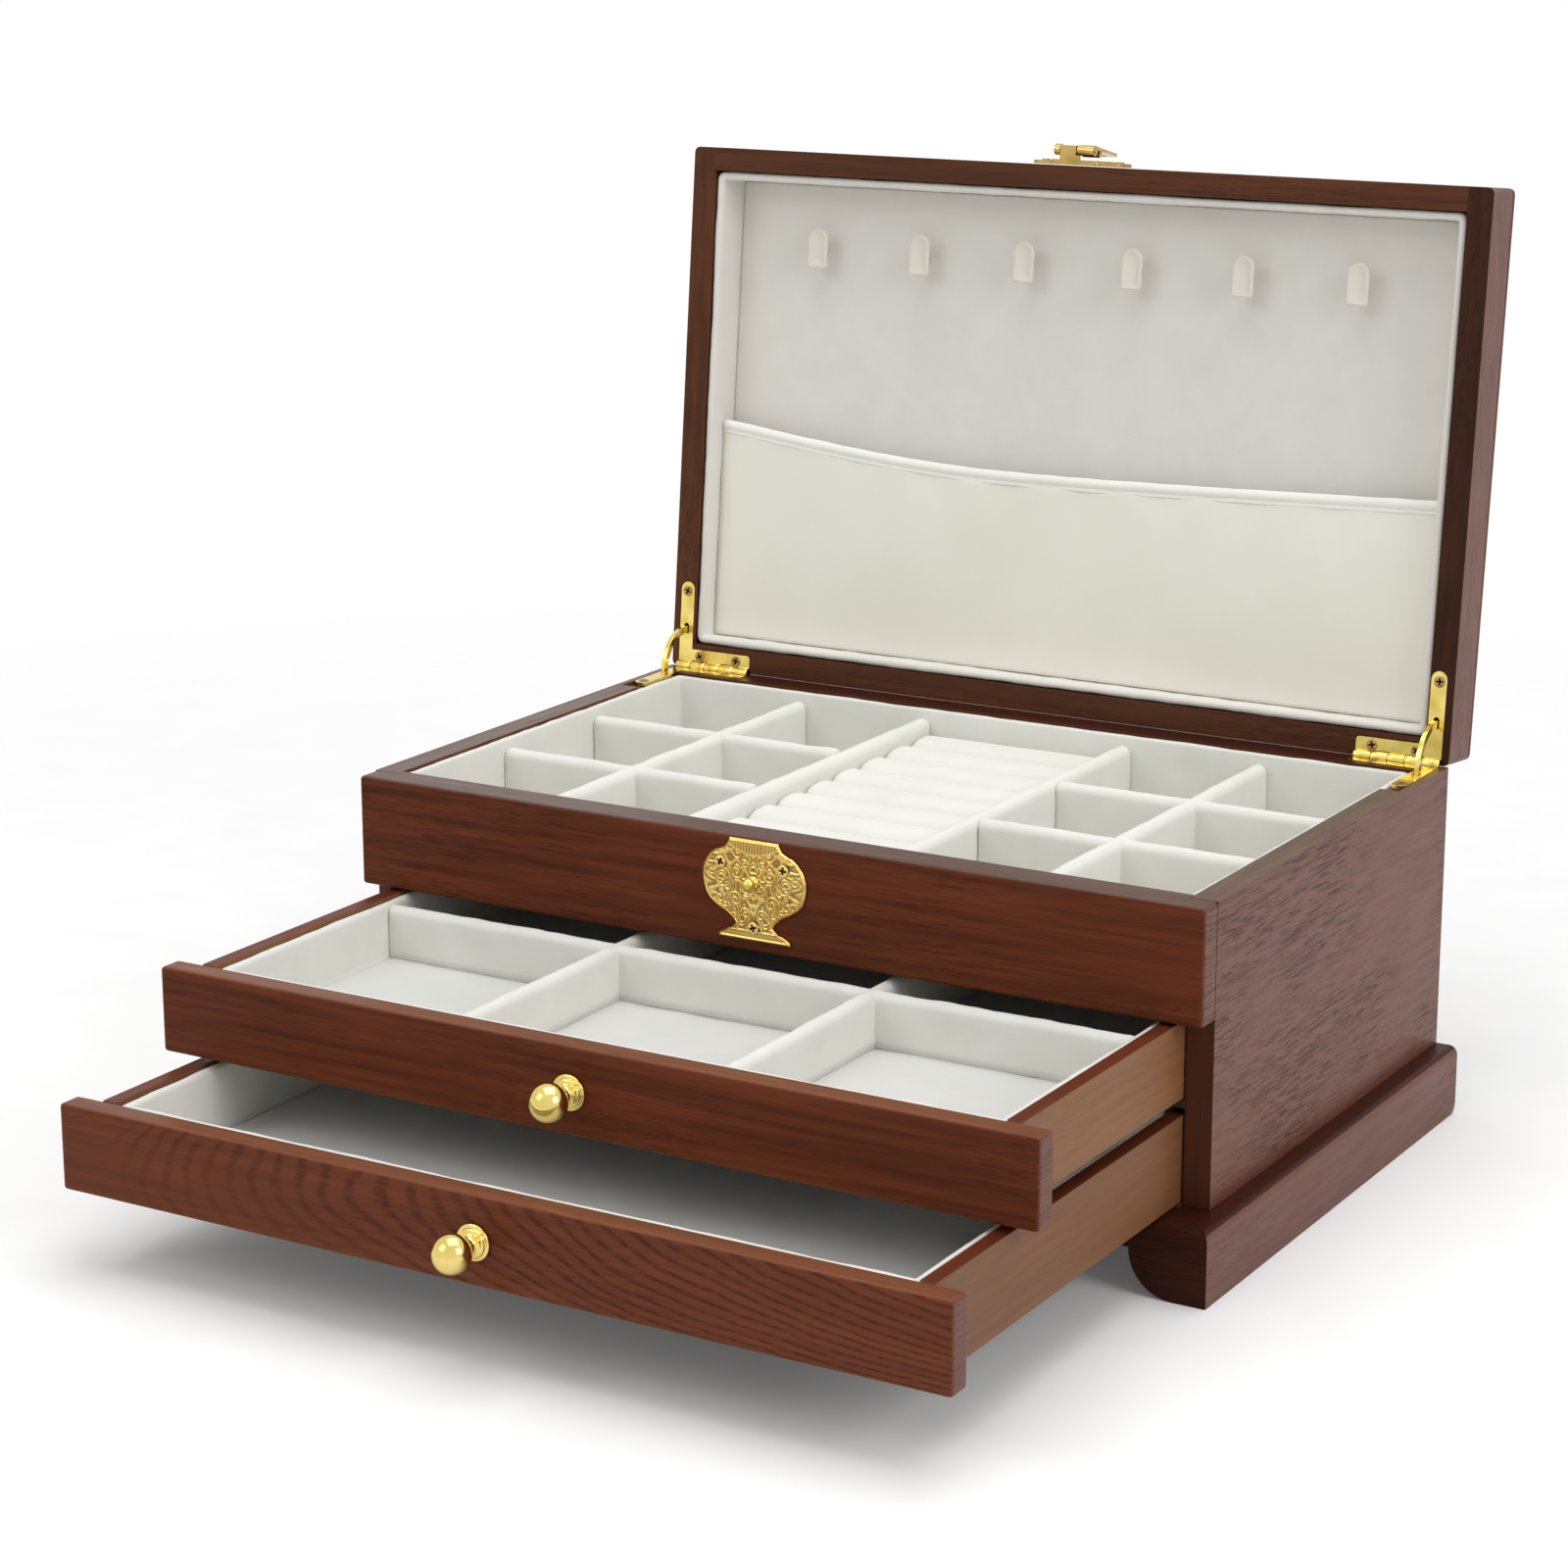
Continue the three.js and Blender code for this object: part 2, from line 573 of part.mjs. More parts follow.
// One drawer, drawn with its front face at y = 0 and the front's bottom edge at z = 0.
function addDrawer(parent, name, out, bottomZ, sideRise) {
  const group = new THREE.Group();
  group.position.set(0, -out, bottomZ);
  parent.add(group);
  const half = innerHalf - drawerSideGap;
  const inner = half - drawerWallThickness;
  const length = backInner - drawerBackGap;
  const wallStart = frontThickness + glueGap;
  const top = drawerFrontHeight;
  const boardBottom = sideRise + drawerBottomRise;
  const boardTop = boardBottom + drawerBottomThickness;
  const fit = inner - glueGap;
  addPart(group, `${name}_front`,
    softBlock(-halfCase, halfCase, 0, frontThickness, 0, drawerFrontHeight, frontEdgeRadius), frontWood);
  addPart(group, `${name}_left_side`, block(-half, -inner, wallStart, length, sideRise, top), drawerWood);
  addPart(group, `${name}_right_side`, block(inner, half, wallStart, length, sideRise, top), drawerWood);
  addPart(group, `${name}_back`, block(-fit, fit, length - drawerWallThickness, length, sideRise, top), drawerWood);
  addPart(group, `${name}_bottom`, block(-fit, fit, wallStart, length - drawerWallThickness - glueGap,
    boardBottom, boardTop), boardWood);
  addPart(group, `${name}_lining`, liner(-fit, fit, wallStart, length - drawerWallThickness - glueGap,
    boardTop + glueGap, top - drawerLiningInset, drawerLiningWall, drawerLiningFloor, true), velvet);
  addPart(group, `${name}_knob`, knob(), brass);
  return group;
}

// The velvet dividers of the upper drawer, lapped where they cross.
function addDrawerDividers(group) {
  const inner = innerHalf - drawerSideGap - drawerWallThickness - 2 * glueGap - drawerLiningWall;
  const start = frontThickness + 2 * glueGap + drawerLiningWall;
  const end = backInner - drawerBackGap - drawerWallThickness - 2 * glueGap - drawerLiningWall;
  const low = upperSideRise + drawerBottomRise + drawerBottomThickness + drawerLiningFloor + 2 * glueGap;
  const high = drawerFrontHeight - drawerDividerInset;
  const notch = drawerDividerThickness + 2 * glueGap;
  const reach = drawerDividerThickness / 2;
  const cross = dividerOutline(-inner, inner, low, high, [-drawerLongDividerPlace, drawerLongDividerPlace],
    notch, false);
  addPart(group, 'upper_drawer_cross_divider',
    alongY(cross, drawerCrossDividerPlace - reach, drawerCrossDividerPlace + reach), velvet);
  const long = dividerOutline(start, end, low, high, [drawerCrossDividerPlace], notch, true);
  const right = alongX(long, drawerLongDividerPlace - reach, drawerLongDividerPlace + reach);
  addPart(group, 'upper_drawer_long_divider_right', right, velvet);
  addPart(group, 'upper_drawer_long_divider_left', mirrored(right), velvet);
}

// Vase-shaped plate on the fascia with the stud that the hasp drops over
function addCatch(group) {
  const bottom = rimHeight - escutcheonDrop - escutcheonHeight;
  const half = escutcheonShares.map(([across, up]) =>
    new THREE.Vector2(across * escutcheonHalfWidth, bottom + up * escutcheonHeight));
  const right = new THREE.SplineCurve(half).getPoints(splineSteps);
  const left = right.map((point) => new THREE.Vector2(-point.x, point.y)).reverse();
  const plate = alongY(new THREE.Shape([...left, ...right]), -glueGap - escutcheonThickness, -glueGap);
  addPart(group, 'escutcheon', plate, brass);
  const profile = [[0, 0], [studNeckRadius, 0], ...ballProfile(studBallRadius, studBallPlace, studNeckRadius)];
  const face = -2 * glueGap - escutcheonThickness;
  addPart(group, 'catch_stud', turnedForward(profile, smallRoundSegments, face, studHeight), brass);
}

// The lid's wood, drawn closed
function addLidWood(group) {
  const top = lidBottom + lidThickness;
  const round = softBlock(-halfCase, halfCase, lidSetback, caseDepth, lidBottom - lidEdgeRadius, top, lidEdgeRadius);
  const hole = block(-lidInnerHalf, lidInnerHalf, lidInnerFront, lidInnerBack, lidBottom - overrun, top + overrun);
  const leafCut = alongZ(leafOutline(leafFit), lidBottom - overrun, lidBottom + leafThickness + seatGap);
  const edgeCut = block(hingeInnerPlace - leafFit, hingeOuterPlace + leafFit, caseDepth - leafFit,
    caseDepth + overrun, lidBottom - overrun, lidBottom + leafThickness + seatGap);
  const blank = overlapOf([round, block(-halfCase, halfCase, lidSetback, caseDepth, lidBottom, lidFrameTop)]);
  const tools = [leafCut, edgeCut, stayPocket(1), barrelRecess()];
  addPart(group, 'lid_frame', cut(blank, [hole, ...tools, ...tools.map(mirrored)]), lidWood);
  addPart(group, 'lid_top_panel', overlapOf([round,
    block(-halfCase, halfCase, lidSetback, caseDepth, lidFrameTop + glueGap, top)]), frontWood);
}

// Height of the pocket's edge above the lid's hinge side, as it sags between its ends.
function pocketEdge(raise) {
  const reach = lidInnerHalf - lidLiningWall - 2 * seatGap;
  const points = [[-reach, pocketLeftHeight], [(2 * pocketMiddleShare - 1) * reach, pocketMiddleHeight],
    [reach, pocketRightHeight]];
  const curve = new THREE.SplineCurve(points.map(([x, up]) => new THREE.Vector2(x, caseDepth - up - raise)));
  return curve.getPoints(splineSteps);
}

// Velvet liner, necklace hooks and the stretched pocket, drawn closed
function addLidInside(group) {
  const half = lidInnerHalf - seatGap;
  const front = lidInnerFront + seatGap;
  const back = lidInnerBack - seatGap;
  const ceiling = lidFrameTop - seatGap;
  addPart(group, 'lid_lining', liner(-half, half, front, back, lidBottom + lidLiningInset, ceiling,
    lidLiningWall, lidLiningFloor, false), velvet);

  const inside = ceiling - lidLiningFloor;
  for (let index = 0; index < hookCount; index += 1) {
    const centre = (index - (hookCount - 1) / 2) * hookSpacing;
    addPart(group, `necklace_hook_${index + 1}`, necklaceHook(centre, inside - seatGap), velvet);
  }

  const reach = half - lidLiningWall - seatGap;
  const backEnd = back - lidLiningWall - seatGap;
  const low = lidBottom + pocketDepthBelowRim;
  const cloth = new THREE.Shape([...pocketEdge(0), new THREE.Vector2(reach, backEnd),
    new THREE.Vector2(-reach, backEnd)]);
  addPart(group, 'lid_pocket', alongZ(cloth, low, low + pocketClothThickness), satinCloth);
  const band = new THREE.Shape([...pocketEdge(seatGap), ...pocketEdge(seatGap + pocketBandHeight).reverse()]);
  const bandLow = low + (pocketClothThickness - pocketBandThickness) / 2;
  addPart(group, 'pocket_band', alongZ(band, bandLow, bandLow + pocketBandThickness), velvet);
}

// A hook: a round-topped tab held off the liner by a stem at its lower end.
function necklaceHook(centre, ceiling) {
  const low = lidSetback + hookEdgeDistance + hookHeight / 2;
  const high = low - hookHeight;
  const tab = new THREE.Shape();
  tab.moveTo(centre - hookWidth / 2, low);
  tab.lineTo(centre - hookWidth / 2, high + hookWidth / 2);
  tab.absarc(centre, high + hookWidth / 2, hookWidth / 2, Math.PI, 2 * Math.PI, false);
  tab.lineTo(centre + hookWidth / 2, low);
  const face = ceiling - hookStandoff;
  return join([alongZ(tab, face, face + hookTabThickness),
    block(centre - hookWidth / 2, centre + hookWidth / 2, low - hookStemHeight, low, face, ceiling)]);
}

const haspFace = lidSetback - seatGap;
const haspPinY = lidSetback - haspPinStandoff;
const haspPinZ = lidBottom + haspEdgeInset + haspBlockDepth / 2;
const haspBlockLeft = -haspBlockShift - haspBlockWidth / 2;
const haspBlockRight = haspBlockLeft + haspBlockWidth;

// The hasp's fixed plate and pin, drawn closed
function addHaspPlate(group) {
  const bottom = lidBottom + haspEdgeInset;
  const half = haspWingShares.map(([across, up]) =>
    new THREE.Vector2(across * haspWidth / 2, bottom + up * haspHeight));
  const right = new THREE.SplineCurve(half).getPoints(splineSteps);
  const left = right.map((point) => new THREE.Vector2(-point.x, point.y)).reverse();
  const wings = alongY(new THREE.Shape([...left, ...right]), haspFace - haspWingThickness, haspFace);
  const centre = block(-haspCentreWidth / 2, haspCentreWidth / 2, haspFace - haspCentreThickness, haspFace,
    bottom, bottom + haspHeight);
  const upright = block(haspBlockLeft, haspBlockRight, lidSetback - haspBlockHeight, haspFace,
    bottom, bottom + haspBlockDepth);
  const bore = barAlongX(haspBoreRadius, haspBlockLeft - overrun, haspBlockRight + overrun, haspPinY, haspPinZ);
  addPart(group, 'hasp_plate', cut(join([wings, centre, upright]), [bore]), brass);

  const pinLeft = haspBlockLeft - knuckleGap;
  const pinRight = haspBlockRight + 2 * knuckleGap + haspKnuckleWidth;
  addPart(group, 'hasp_pin', join([
    barAlongX(haspPinRadius, pinLeft - haspPinHeadLength, pinRight, haspPinY, haspPinZ),
    barAlongX(haspPinHeadRadius, pinLeft - haspPinHeadLength, pinLeft, haspPinY, haspPinZ)]), brass);
}

// The swinging flap, drawn hanging down with its pin's axis at the origin.
function addHaspFlap(parent) {
  const group = new THREE.Group();
  group.position.set(0, haspPinY, haspPinZ);
  group.rotation.x = -flapFoldAngle;
  parent.add(group);
  const knuckleLeft = haspBlockRight + knuckleGap;
  const knuckleRight = knuckleLeft + haspKnuckleWidth;
  const holeDrop = haspPinZ - studHeight;
  const half = flapWidth / 2;
  const outline = new THREE.Shape();
  outline.moveTo(knuckleLeft, 0);
  outline.lineTo(knuckleLeft, -flapNotchDepth);
  outline.lineTo(-half, -flapNotchDepth);
  outline.lineTo(-half, -holeDrop);
  outline.bezierCurveTo(-half, -holeDrop - flapTipLength, -half / 2, -holeDrop - flapTipLength,
    0, -holeDrop - flapTipLength);
  outline.bezierCurveTo(half / 2, -holeDrop - flapTipLength, half, -holeDrop - flapTipLength, half, -holeDrop);
  outline.lineTo(half, -flapNotchDepth);
  outline.lineTo(knuckleRight, -flapNotchDepth);
  outline.lineTo(knuckleRight, 0);
  const hole = new THREE.CylinderGeometry(flapHoleRadius, flapHoleRadius, 2 * overrun, smallRoundSegments);
  hole.translate(0, 0, -holeDrop);
  const near = flapOffset - flapThickness / 2;
  const plate = alongY(outline, near, near + flapThickness);
  const knuckle = barAlongX(haspKnuckleRadius, knuckleLeft, knuckleRight, 0, 0);
  const loop = barAlongX(flapLoopRadius, -half / 2, half / 2, near - flapLoopRadius / 2, -flapLoopPlace);
  const bore = barAlongX(haspBoreRadius, knuckleLeft - overrun, knuckleRight + overrun, 0, 0);
  addPart(group, 'hasp_flap', cut(join([plate, knuckle, loop]), [hole, bore]), brass);
}

// The lid turns open about the hinge axis; its pieces are drawn closed inside a shifted group.
function addLid(parent) {
  const turning = new THREE.Group();
  turning.position.set(0, hingeY, hingeZ);
  turning.rotation.x = -lidOpenAngle;
  parent.add(turning);
  const lid = new THREE.Group();
  lid.position.set(0, -hingeY, -hingeZ);
  turning.add(lid);
  addLidWood(lid);
  addLidInside(lid);
  const leaf = hingeLeaf(true);
  addPart(lid, 'right_lid_leaf', leaf, brass);
  addPart(lid, 'left_lid_leaf', mirrored(leaf), brass);
  addHaspPlate(lid);
  addHaspFlap(lid);
}

// Each curved stay turns half as far as the lid.
function addStays(parent) {
  const turning = new THREE.Group();
  turning.position.set(0, hingeY, hingeZ);
  turning.rotation.x = -lidOpenAngle / 2;
  parent.add(turning);
  const stays = new THREE.Group();
  stays.position.set(0, -hingeY, -hingeZ);
  turning.add(stays);
  const stay = alongX(staySector(stayWidth, -stayHalfAngle, stayHalfAngle), stayInner, stayOuter);
  addPart(stays, 'right_stay', stay, brass);
  addPart(stays, 'left_stay', mirrored(stay), brass);
}

const jewelryBox = new THREE.Group();
addCase(jewelryBox);
addPlinth(jewelryBox);
addTray(jewelryBox);
addCatch(jewelryBox);
const caseLeaf = hingeLeaf(false);
addPart(jewelryBox, 'right_case_leaf', caseLeaf, brass);
addPart(jewelryBox, 'left_case_leaf', mirrored(caseLeaf), brass);
addLid(jewelryBox);
addStays(jewelryBox);
const upperDrawer = addDrawer(jewelryBox, 'upper_drawer', upperDrawerOut, upperFrontBottom, upperSideRise);
addDrawerDividers(upperDrawer);
addDrawer(jewelryBox, 'lower_drawer', lowerDrawerOut, lowerFrontBottom, lowerSideRise);

// The origin lies under the middle of the whole open box, on the floor.
const bounds = new THREE.Box3().setFromObject(jewelryBox, true);
const middle = bounds.getCenter(new THREE.Vector3());
jewelryBox.position.set(-middle.x, -middle.y, -bounds.min.z);

export default jewelryBox;
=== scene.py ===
# %% [markdown]
# # A tiered jewelry box, lid up and drawers out
#
# The wood and metal parts come in as a finished model, each part a solid of its own. This lesson
# gives them their finish, makes the soft linings, and sets the box on a pale floor.
# Everything is in metres: +X to the box's right, +Y to its back, +Z up.

# %% Load the frame
import json
import math

import bmesh
import bpy
import numpy as np
from mathutils import Matrix, Vector


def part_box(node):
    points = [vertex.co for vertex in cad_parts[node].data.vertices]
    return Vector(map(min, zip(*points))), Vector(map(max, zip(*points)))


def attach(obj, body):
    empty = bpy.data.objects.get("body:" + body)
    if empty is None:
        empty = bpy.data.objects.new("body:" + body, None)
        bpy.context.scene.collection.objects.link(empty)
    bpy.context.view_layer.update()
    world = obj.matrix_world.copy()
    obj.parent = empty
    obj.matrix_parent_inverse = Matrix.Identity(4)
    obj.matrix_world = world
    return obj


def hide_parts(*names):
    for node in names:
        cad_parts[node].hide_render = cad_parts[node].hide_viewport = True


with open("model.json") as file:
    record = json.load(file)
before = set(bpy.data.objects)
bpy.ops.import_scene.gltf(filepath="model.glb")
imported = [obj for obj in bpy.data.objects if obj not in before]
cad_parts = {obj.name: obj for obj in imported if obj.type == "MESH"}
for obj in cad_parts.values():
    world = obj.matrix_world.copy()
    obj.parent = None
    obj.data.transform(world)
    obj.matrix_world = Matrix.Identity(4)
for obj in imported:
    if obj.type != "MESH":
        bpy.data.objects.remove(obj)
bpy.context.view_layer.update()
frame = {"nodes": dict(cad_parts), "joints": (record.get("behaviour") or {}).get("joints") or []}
nodes = frame["nodes"]
hinge = next(joint for joint in frame["joints"] if joint["name"] == "lid_hinge")
MM = 0.001
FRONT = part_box("front_fascia")[0].y

# %% [markdown]
# ## The camera
# It stands a little to the right of the box and above it, far off and with a long lens, so that the
# drawers' long edges stay nearly parallel. Its direction is built from two angles and a slight roll.

# %% Camera
AZIMUTH, ELEVATION, ROLL = math.radians(30.84), math.radians(14.62), math.radians(-0.108)
DISTANCE, LENS, SENSOR = 1.2105, 86.589, 36
target = Vector((-0.0255, FRONT + 0.060, 0.1177))

camera_data = bpy.data.cameras.new("camera")
camera_data.lens, camera_data.sensor_width = LENS, SENSOR
camera_data.clip_start, camera_data.clip_end = 0.05, 50
camera = bpy.data.objects.new("camera", camera_data)
bpy.context.scene.collection.objects.link(camera)
away = Vector((math.sin(AZIMUTH) * math.cos(ELEVATION), -math.cos(AZIMUTH) * math.cos(ELEVATION),
               math.sin(ELEVATION)))
right = (-away).cross(Vector((0, 0, 1))).normalized()
up = right.cross(-away)
rolled_right = right * math.cos(ROLL) + up * math.sin(ROLL)
rolled_up = up * math.cos(ROLL) - right * math.sin(ROLL)
turn = Matrix((rolled_right, rolled_up, away)).transposed().to_4x4()
camera.matrix_world = Matrix.Translation(target + away * DISTANCE) @ turn
bpy.context.scene.camera = camera
print("camera stands at", [round(part, 3) for part in camera.matrix_world.translation])

# %% [markdown]
# ## Building materials
# A finish is a small tree of nodes that ends in the main shader. A few short helpers keep the recipes
# readable: each adds one node, joins its inputs to values or to other nodes, and hands on its result.
# Every pattern starts from a place on the piece in metres, so it keeps its size on every piece.

# %% Node helpers
def material(name):
    """A new material, its node tree and its main shader."""
    made = bpy.data.materials.new(name)
    made.use_nodes = True
    return made, made.node_tree, made.node_tree.nodes["Principled BSDF"]


def feed(tree, target_node, inputs):
    """Gives each input its value, or joins it to the socket that feeds it."""
    for key, value in inputs.items():
        if isinstance(value, bpy.types.NodeSocket):
            tree.links.new(value, target_node.inputs[key])
        else:
            target_node.inputs[key].default_value = value


def node(tree, kind, inputs=None, **options):
    """A new node with its options set and its inputs fed."""
    new = tree.nodes.new("ShaderNode" + kind)
    for key, value in options.items():
        setattr(new, key, value)
    feed(tree, new, inputs or {})
    return new


def math_node(tree, operation, *values):
    """A sum, a product or a comparison of numbers or sockets."""
    return node(tree, "Math", dict(enumerate(values)), operation=operation).outputs[0]


def speckle(tree, place, scale, detail, roughness=0.5, distortion=0.0):
    """Smooth noise at a place, with about `scale` lumps to the metre."""
    inputs = {"Vector": place, "Scale": scale, "Detail": detail, "Roughness": roughness,
              "Distortion": distortion}
    return node(tree, "TexNoise", inputs).outputs["Fac"]


def bump(tree, shader, height, strength, distance):
    """Shades the surface as if it were raised by a height, without moving it."""
    new = node(tree, "Bump", {"Height": height, "Strength": strength, "Distance": distance})
    tree.links.new(new.outputs["Normal"], shader.inputs["Normal"])


# %% [markdown]
# ## Colours
# Colours are written as they show on a display, from 0 to 255. A shader reckons in linear light, so
# each is turned by the display's own curve: a straight line in the darkest part, a power above it.

# %% Colour helpers
def linear(red, green, blue):
    """A display colour from 0 to 255 as the linear numbers that a shader takes."""
    share = np.array([red, green, blue]) / 255
    return tuple(np.where(share <= 0.04045, share / 12.92, ((share + 0.055) / 1.055) ** 2.4))


def shaded(tone, share):
    """The same colour with a share of its light."""
    return tuple(share * part for part in tone)


def ramp(tree, factor, stops):
    """A colour ramp through (place, grey or colour) stops."""
    new = node(tree, "ValToRGB", {"Fac": factor})
    stops, elements = list(stops), new.color_ramp.elements
    while len(elements) < len(stops):
        elements.new(0.5)
    for element, (place, colour) in zip(elements, stops):
        element.position = place
        element.color = (colour,) * 3 + (1,) if isinstance(colour, (int, float)) else (*colour, 1)
    return new.outputs["Color"]


def blend_colours(tree, factor, first, second):
    """Two colours, each three numbers or a socket, mixed by a factor."""
    pair = [tone if isinstance(tone, bpy.types.NodeSocket) else (*tone, 1) for tone in (first, second)]
    return node(tree, "Mix", {0: factor, 6: pair[0], 7: pair[1]}, data_type="RGBA").outputs[2]


print("a red-brown in linear light:", [round(float(part), 3) for part in linear(98, 49, 28)])

# %% [markdown]
# ## Stained wood
# The finish is a red-brown stain under satin lacquer. Long soft streaks follow the grain, fine short
# dashes are the open pores, and both are noises squeezed across the grain, so each board needs its
# own direction; a frame has a second direction for its two side rails. Where a board was cut flat
# through the tree's rings it shows arches: bands along nested curves with their tips to the left,
# wavered by a slow noise.

# %% Wood recipe
STREAK_STOPS = (0.35, 0.5, 0.65)


def wood(name, grain, colours, pores=0.5, roughness=0.38, specular=0.3, rails=None, arches=None):
    """Stained wood with its grain along axis 0, 1 or 2, in a dark, a middle and a light colour.

    `rails` (place, axis, share): beyond +-place the grain turns, and beyond +place the colour keeps `share`
    of its light, painted shade.
    `arches` (pitch, bend, tip, tilt, strength, start): dark bands, a sine of x less bend times the
    squared height above tip + tilt * x, which fade in over three centimetres from the place start.
    """
    made, tree, shader = material(name)
    place = node(tree, "TexCoord").outputs["Object"]
    parts = node(tree, "SeparateXYZ", {"Vector": place}).outputs

    def calculate(operation, *values):
        return math_node(tree, operation, *values)

    def squeezed(along, across):
        """The place, scaled by `along` in the grain's direction and by `across` in the others."""
        ways = []
        for axis in (grain,) if rails is None else (grain, rails[1]):
            scale = [across] * 3
            scale[axis] = along
            ways.append(node(tree, "Mapping", {"Vector": place, "Scale": scale}).outputs["Vector"])
        if rails is None:
            return ways[0]
        on_rail = calculate("GREATER_THAN", calculate("ABSOLUTE", parts["X"]), rails[0])
        return node(tree, "Mix", {0: on_rail, 4: ways[0], 5: ways[1]}, data_type="VECTOR").outputs[1]

    def noise(along, across, detail):
        """Noise with so many lumps to the metre along the grain and across it."""
        return speckle(tree, squeezed(along, across), 1, detail)

    wide_streaks = calculate("MULTIPLY", noise(7, 90, 2), 0.35)
    streaks = calculate("MULTIPLY_ADD", noise(16, 480, 6), 0.65, wide_streaks)
    colour = ramp(tree, streaks, zip(STREAK_STOPS, colours))
    dark = colours[0]
    if rails:
        # painted shade: beyond +place the right rail's tones keep only the rails' share of their light
        right_rail_shade_mask = calculate("GREATER_THAN", parts["X"], rails[0])
        darker = [shaded(tone, rails[2]) for tone in colours]
        colour = blend_colours(tree, right_rail_shade_mask, colour, ramp(tree, streaks, zip(STREAK_STOPS, darker)))
    if arches:
        pitch, bend, tip, tilt, strength, start = arches
        from_tip = calculate("SUBTRACT", parts["Z"], calculate("MULTIPLY_ADD", parts["X"], tilt, tip))
        bent = calculate("MULTIPLY_ADD", calculate("MULTIPLY", from_tip, from_tip), -bend, parts["X"])
        wavered = calculate("MULTIPLY_ADD", noise(14, 30, 3), 3.2 * pitch, bent)
        wave = calculate("SINE", calculate("MULTIPLY", wavered, 2 * math.pi / pitch))
        band = ramp(tree, wave, [(0.0, 0.0), (0.9, 1.0)])
        patchy = ramp(tree, noise(9, 14, 1), [(0.36, 0.35 * strength), (0.58, strength)])
        ragged = ramp(tree, noise(300, 700, 2), [(0.36, 0.35), (0.6, 1.0)])
        fade_in = ramp(tree, calculate("SUBTRACT", parts["X"], start), [(0.0, 0.0), (0.03, 1.0)])
        for factor in (patchy, ragged, fade_in):
            band = calculate("MULTIPLY", band, factor)
        colour = blend_colours(tree, band, colour, shaded(dark, 0.35))

    open_pores = ramp(tree, noise(115, 2150, 1), [(0.54, 0.0), (0.6, 1.0)])
    patches = ramp(tree, noise(12, 26, 2), [(0.42, 0.25), (0.56, 1.0)])
    pore_share = calculate("MULTIPLY", calculate("MULTIPLY", open_pores, patches), pores)
    colour = blend_colours(tree, pore_share, colour, shaded(dark, 0.3))
    relief = calculate("MULTIPLY_ADD", streaks, 0.06, calculate("MULTIPLY", pore_share, -1.0))
    bump(tree, shader, relief, 0.7, 0.0002)
    satin = ramp(tree, noise(40, 500, 3), [(0.3, roughness - 0.05), (0.7, roughness + 0.07)])
    gloss = calculate("MULTIPLY_ADD", pore_share, -0.8 * specular, specular)
    feed(tree, shader, {"Base Color": colour, "Roughness": satin, "Specular IOR Level": gloss})
    return made


# %% [markdown]
# ## The box's woods
# One stain looks different on each board: brown on the front, redder and glossier on the sides that
# mirror the bright room, pale on the unstained drawer sides. So each board has its own middle tone,
# with a darker and a lighter one beside it. The plinth's front and top are painted nearly black as
# the shade under the drawers, and the lid frame's right rail is painted darker as shade.

# %% Woods
def tones(red, green, blue, spread=0.1):
    """A dark, a middle and a light colour round a display colour."""
    return [linear(red * share, green * share, blue * share) for share in (1 - spread, 1, 1 + 0.8 * spread)]


made_before = len(bpy.data.materials)
front_wood = wood("front wood", 0, tones(98, 49, 28, 0.2), pores=0.3, specular=0.08)
figured_wood = wood("figured front wood", 0, tones(106, 56, 36), pores=0.2, specular=0.08,
                    arches=(0.0082, 42, 0.0555, 0.18, 0.66, -0.136))
top_wood = wood("drawer front top wood", 0, tones(114, 66, 40), pores=0.2, specular=0.14)
rim_wood = wood("fascia top wood", 0, tones(78, 46, 34), pores=0.2, specular=0.42)
# painted shade: the plinth's front wood is darkened nearly to black, as the shade under the drawers
foot_wood_painted_shade = wood("plinth front wood", 0, tones(56, 26, 15), pores=0.3, specular=0.08)
post_wood = wood("panel edge wood", 2, tones(80, 45, 31), pores=0.3, specular=0.15)
back_wood = wood("back panel wood", 0, tones(84, 46, 30), pores=0.3, specular=0.12)
side_wood = wood("side wood", 1, tones(101, 54, 35, 0.06), pores=0.72, specular=0.35)
plinth_side_wood = wood("plinth side wood", 1, tones(98, 51, 32, 0.06), pores=0.35, specular=0.34)
side_rim_wood = wood("side rim wood", 1, tones(88, 62, 46, 0.06), pores=0.2, specular=0.35)
# painted shade: the plinth's top is darkened where it meets the side panel
plinth_top_wood_painted_shade = wood("plinth top wood", 1, tones(60, 25, 14), pores=0.3, specular=0.08)
# painted shade: the frame's right rail is darkened to 0.46 of its light
lid_wood = wood("lid frame wood", 0, tones(84, 48, 29, 0.15), pores=0.3, specular=0.12,
                rails=(0.1414, 2, 0.46))
lid_front_wood = wood("lid front wood", 0, tones(80, 44, 27, 0.15), pores=0.3, specular=0.12)
lid_side_wood = wood("lid side wood", 2, tones(100, 54, 35), pores=0.4, specular=0.36)
drawer_wood = wood("drawer wood", 1, tones(131, 88, 54, 0.05), pores=0.12, roughness=0.5)
lower_drawer_wood = wood("lower drawer wood", 1, tones(116, 75, 45, 0.05), pores=0.12, roughness=0.5)
drawer_rim_wood = wood("drawer rim wood", 1, tones(98, 47, 29), pores=0.2, specular=0.09)
board_wood = wood("hidden board wood", 0, tones(62, 38, 27, 0.2), pores=0.4, roughness=0.6)
print(len(bpy.data.materials) - made_before, "woods")
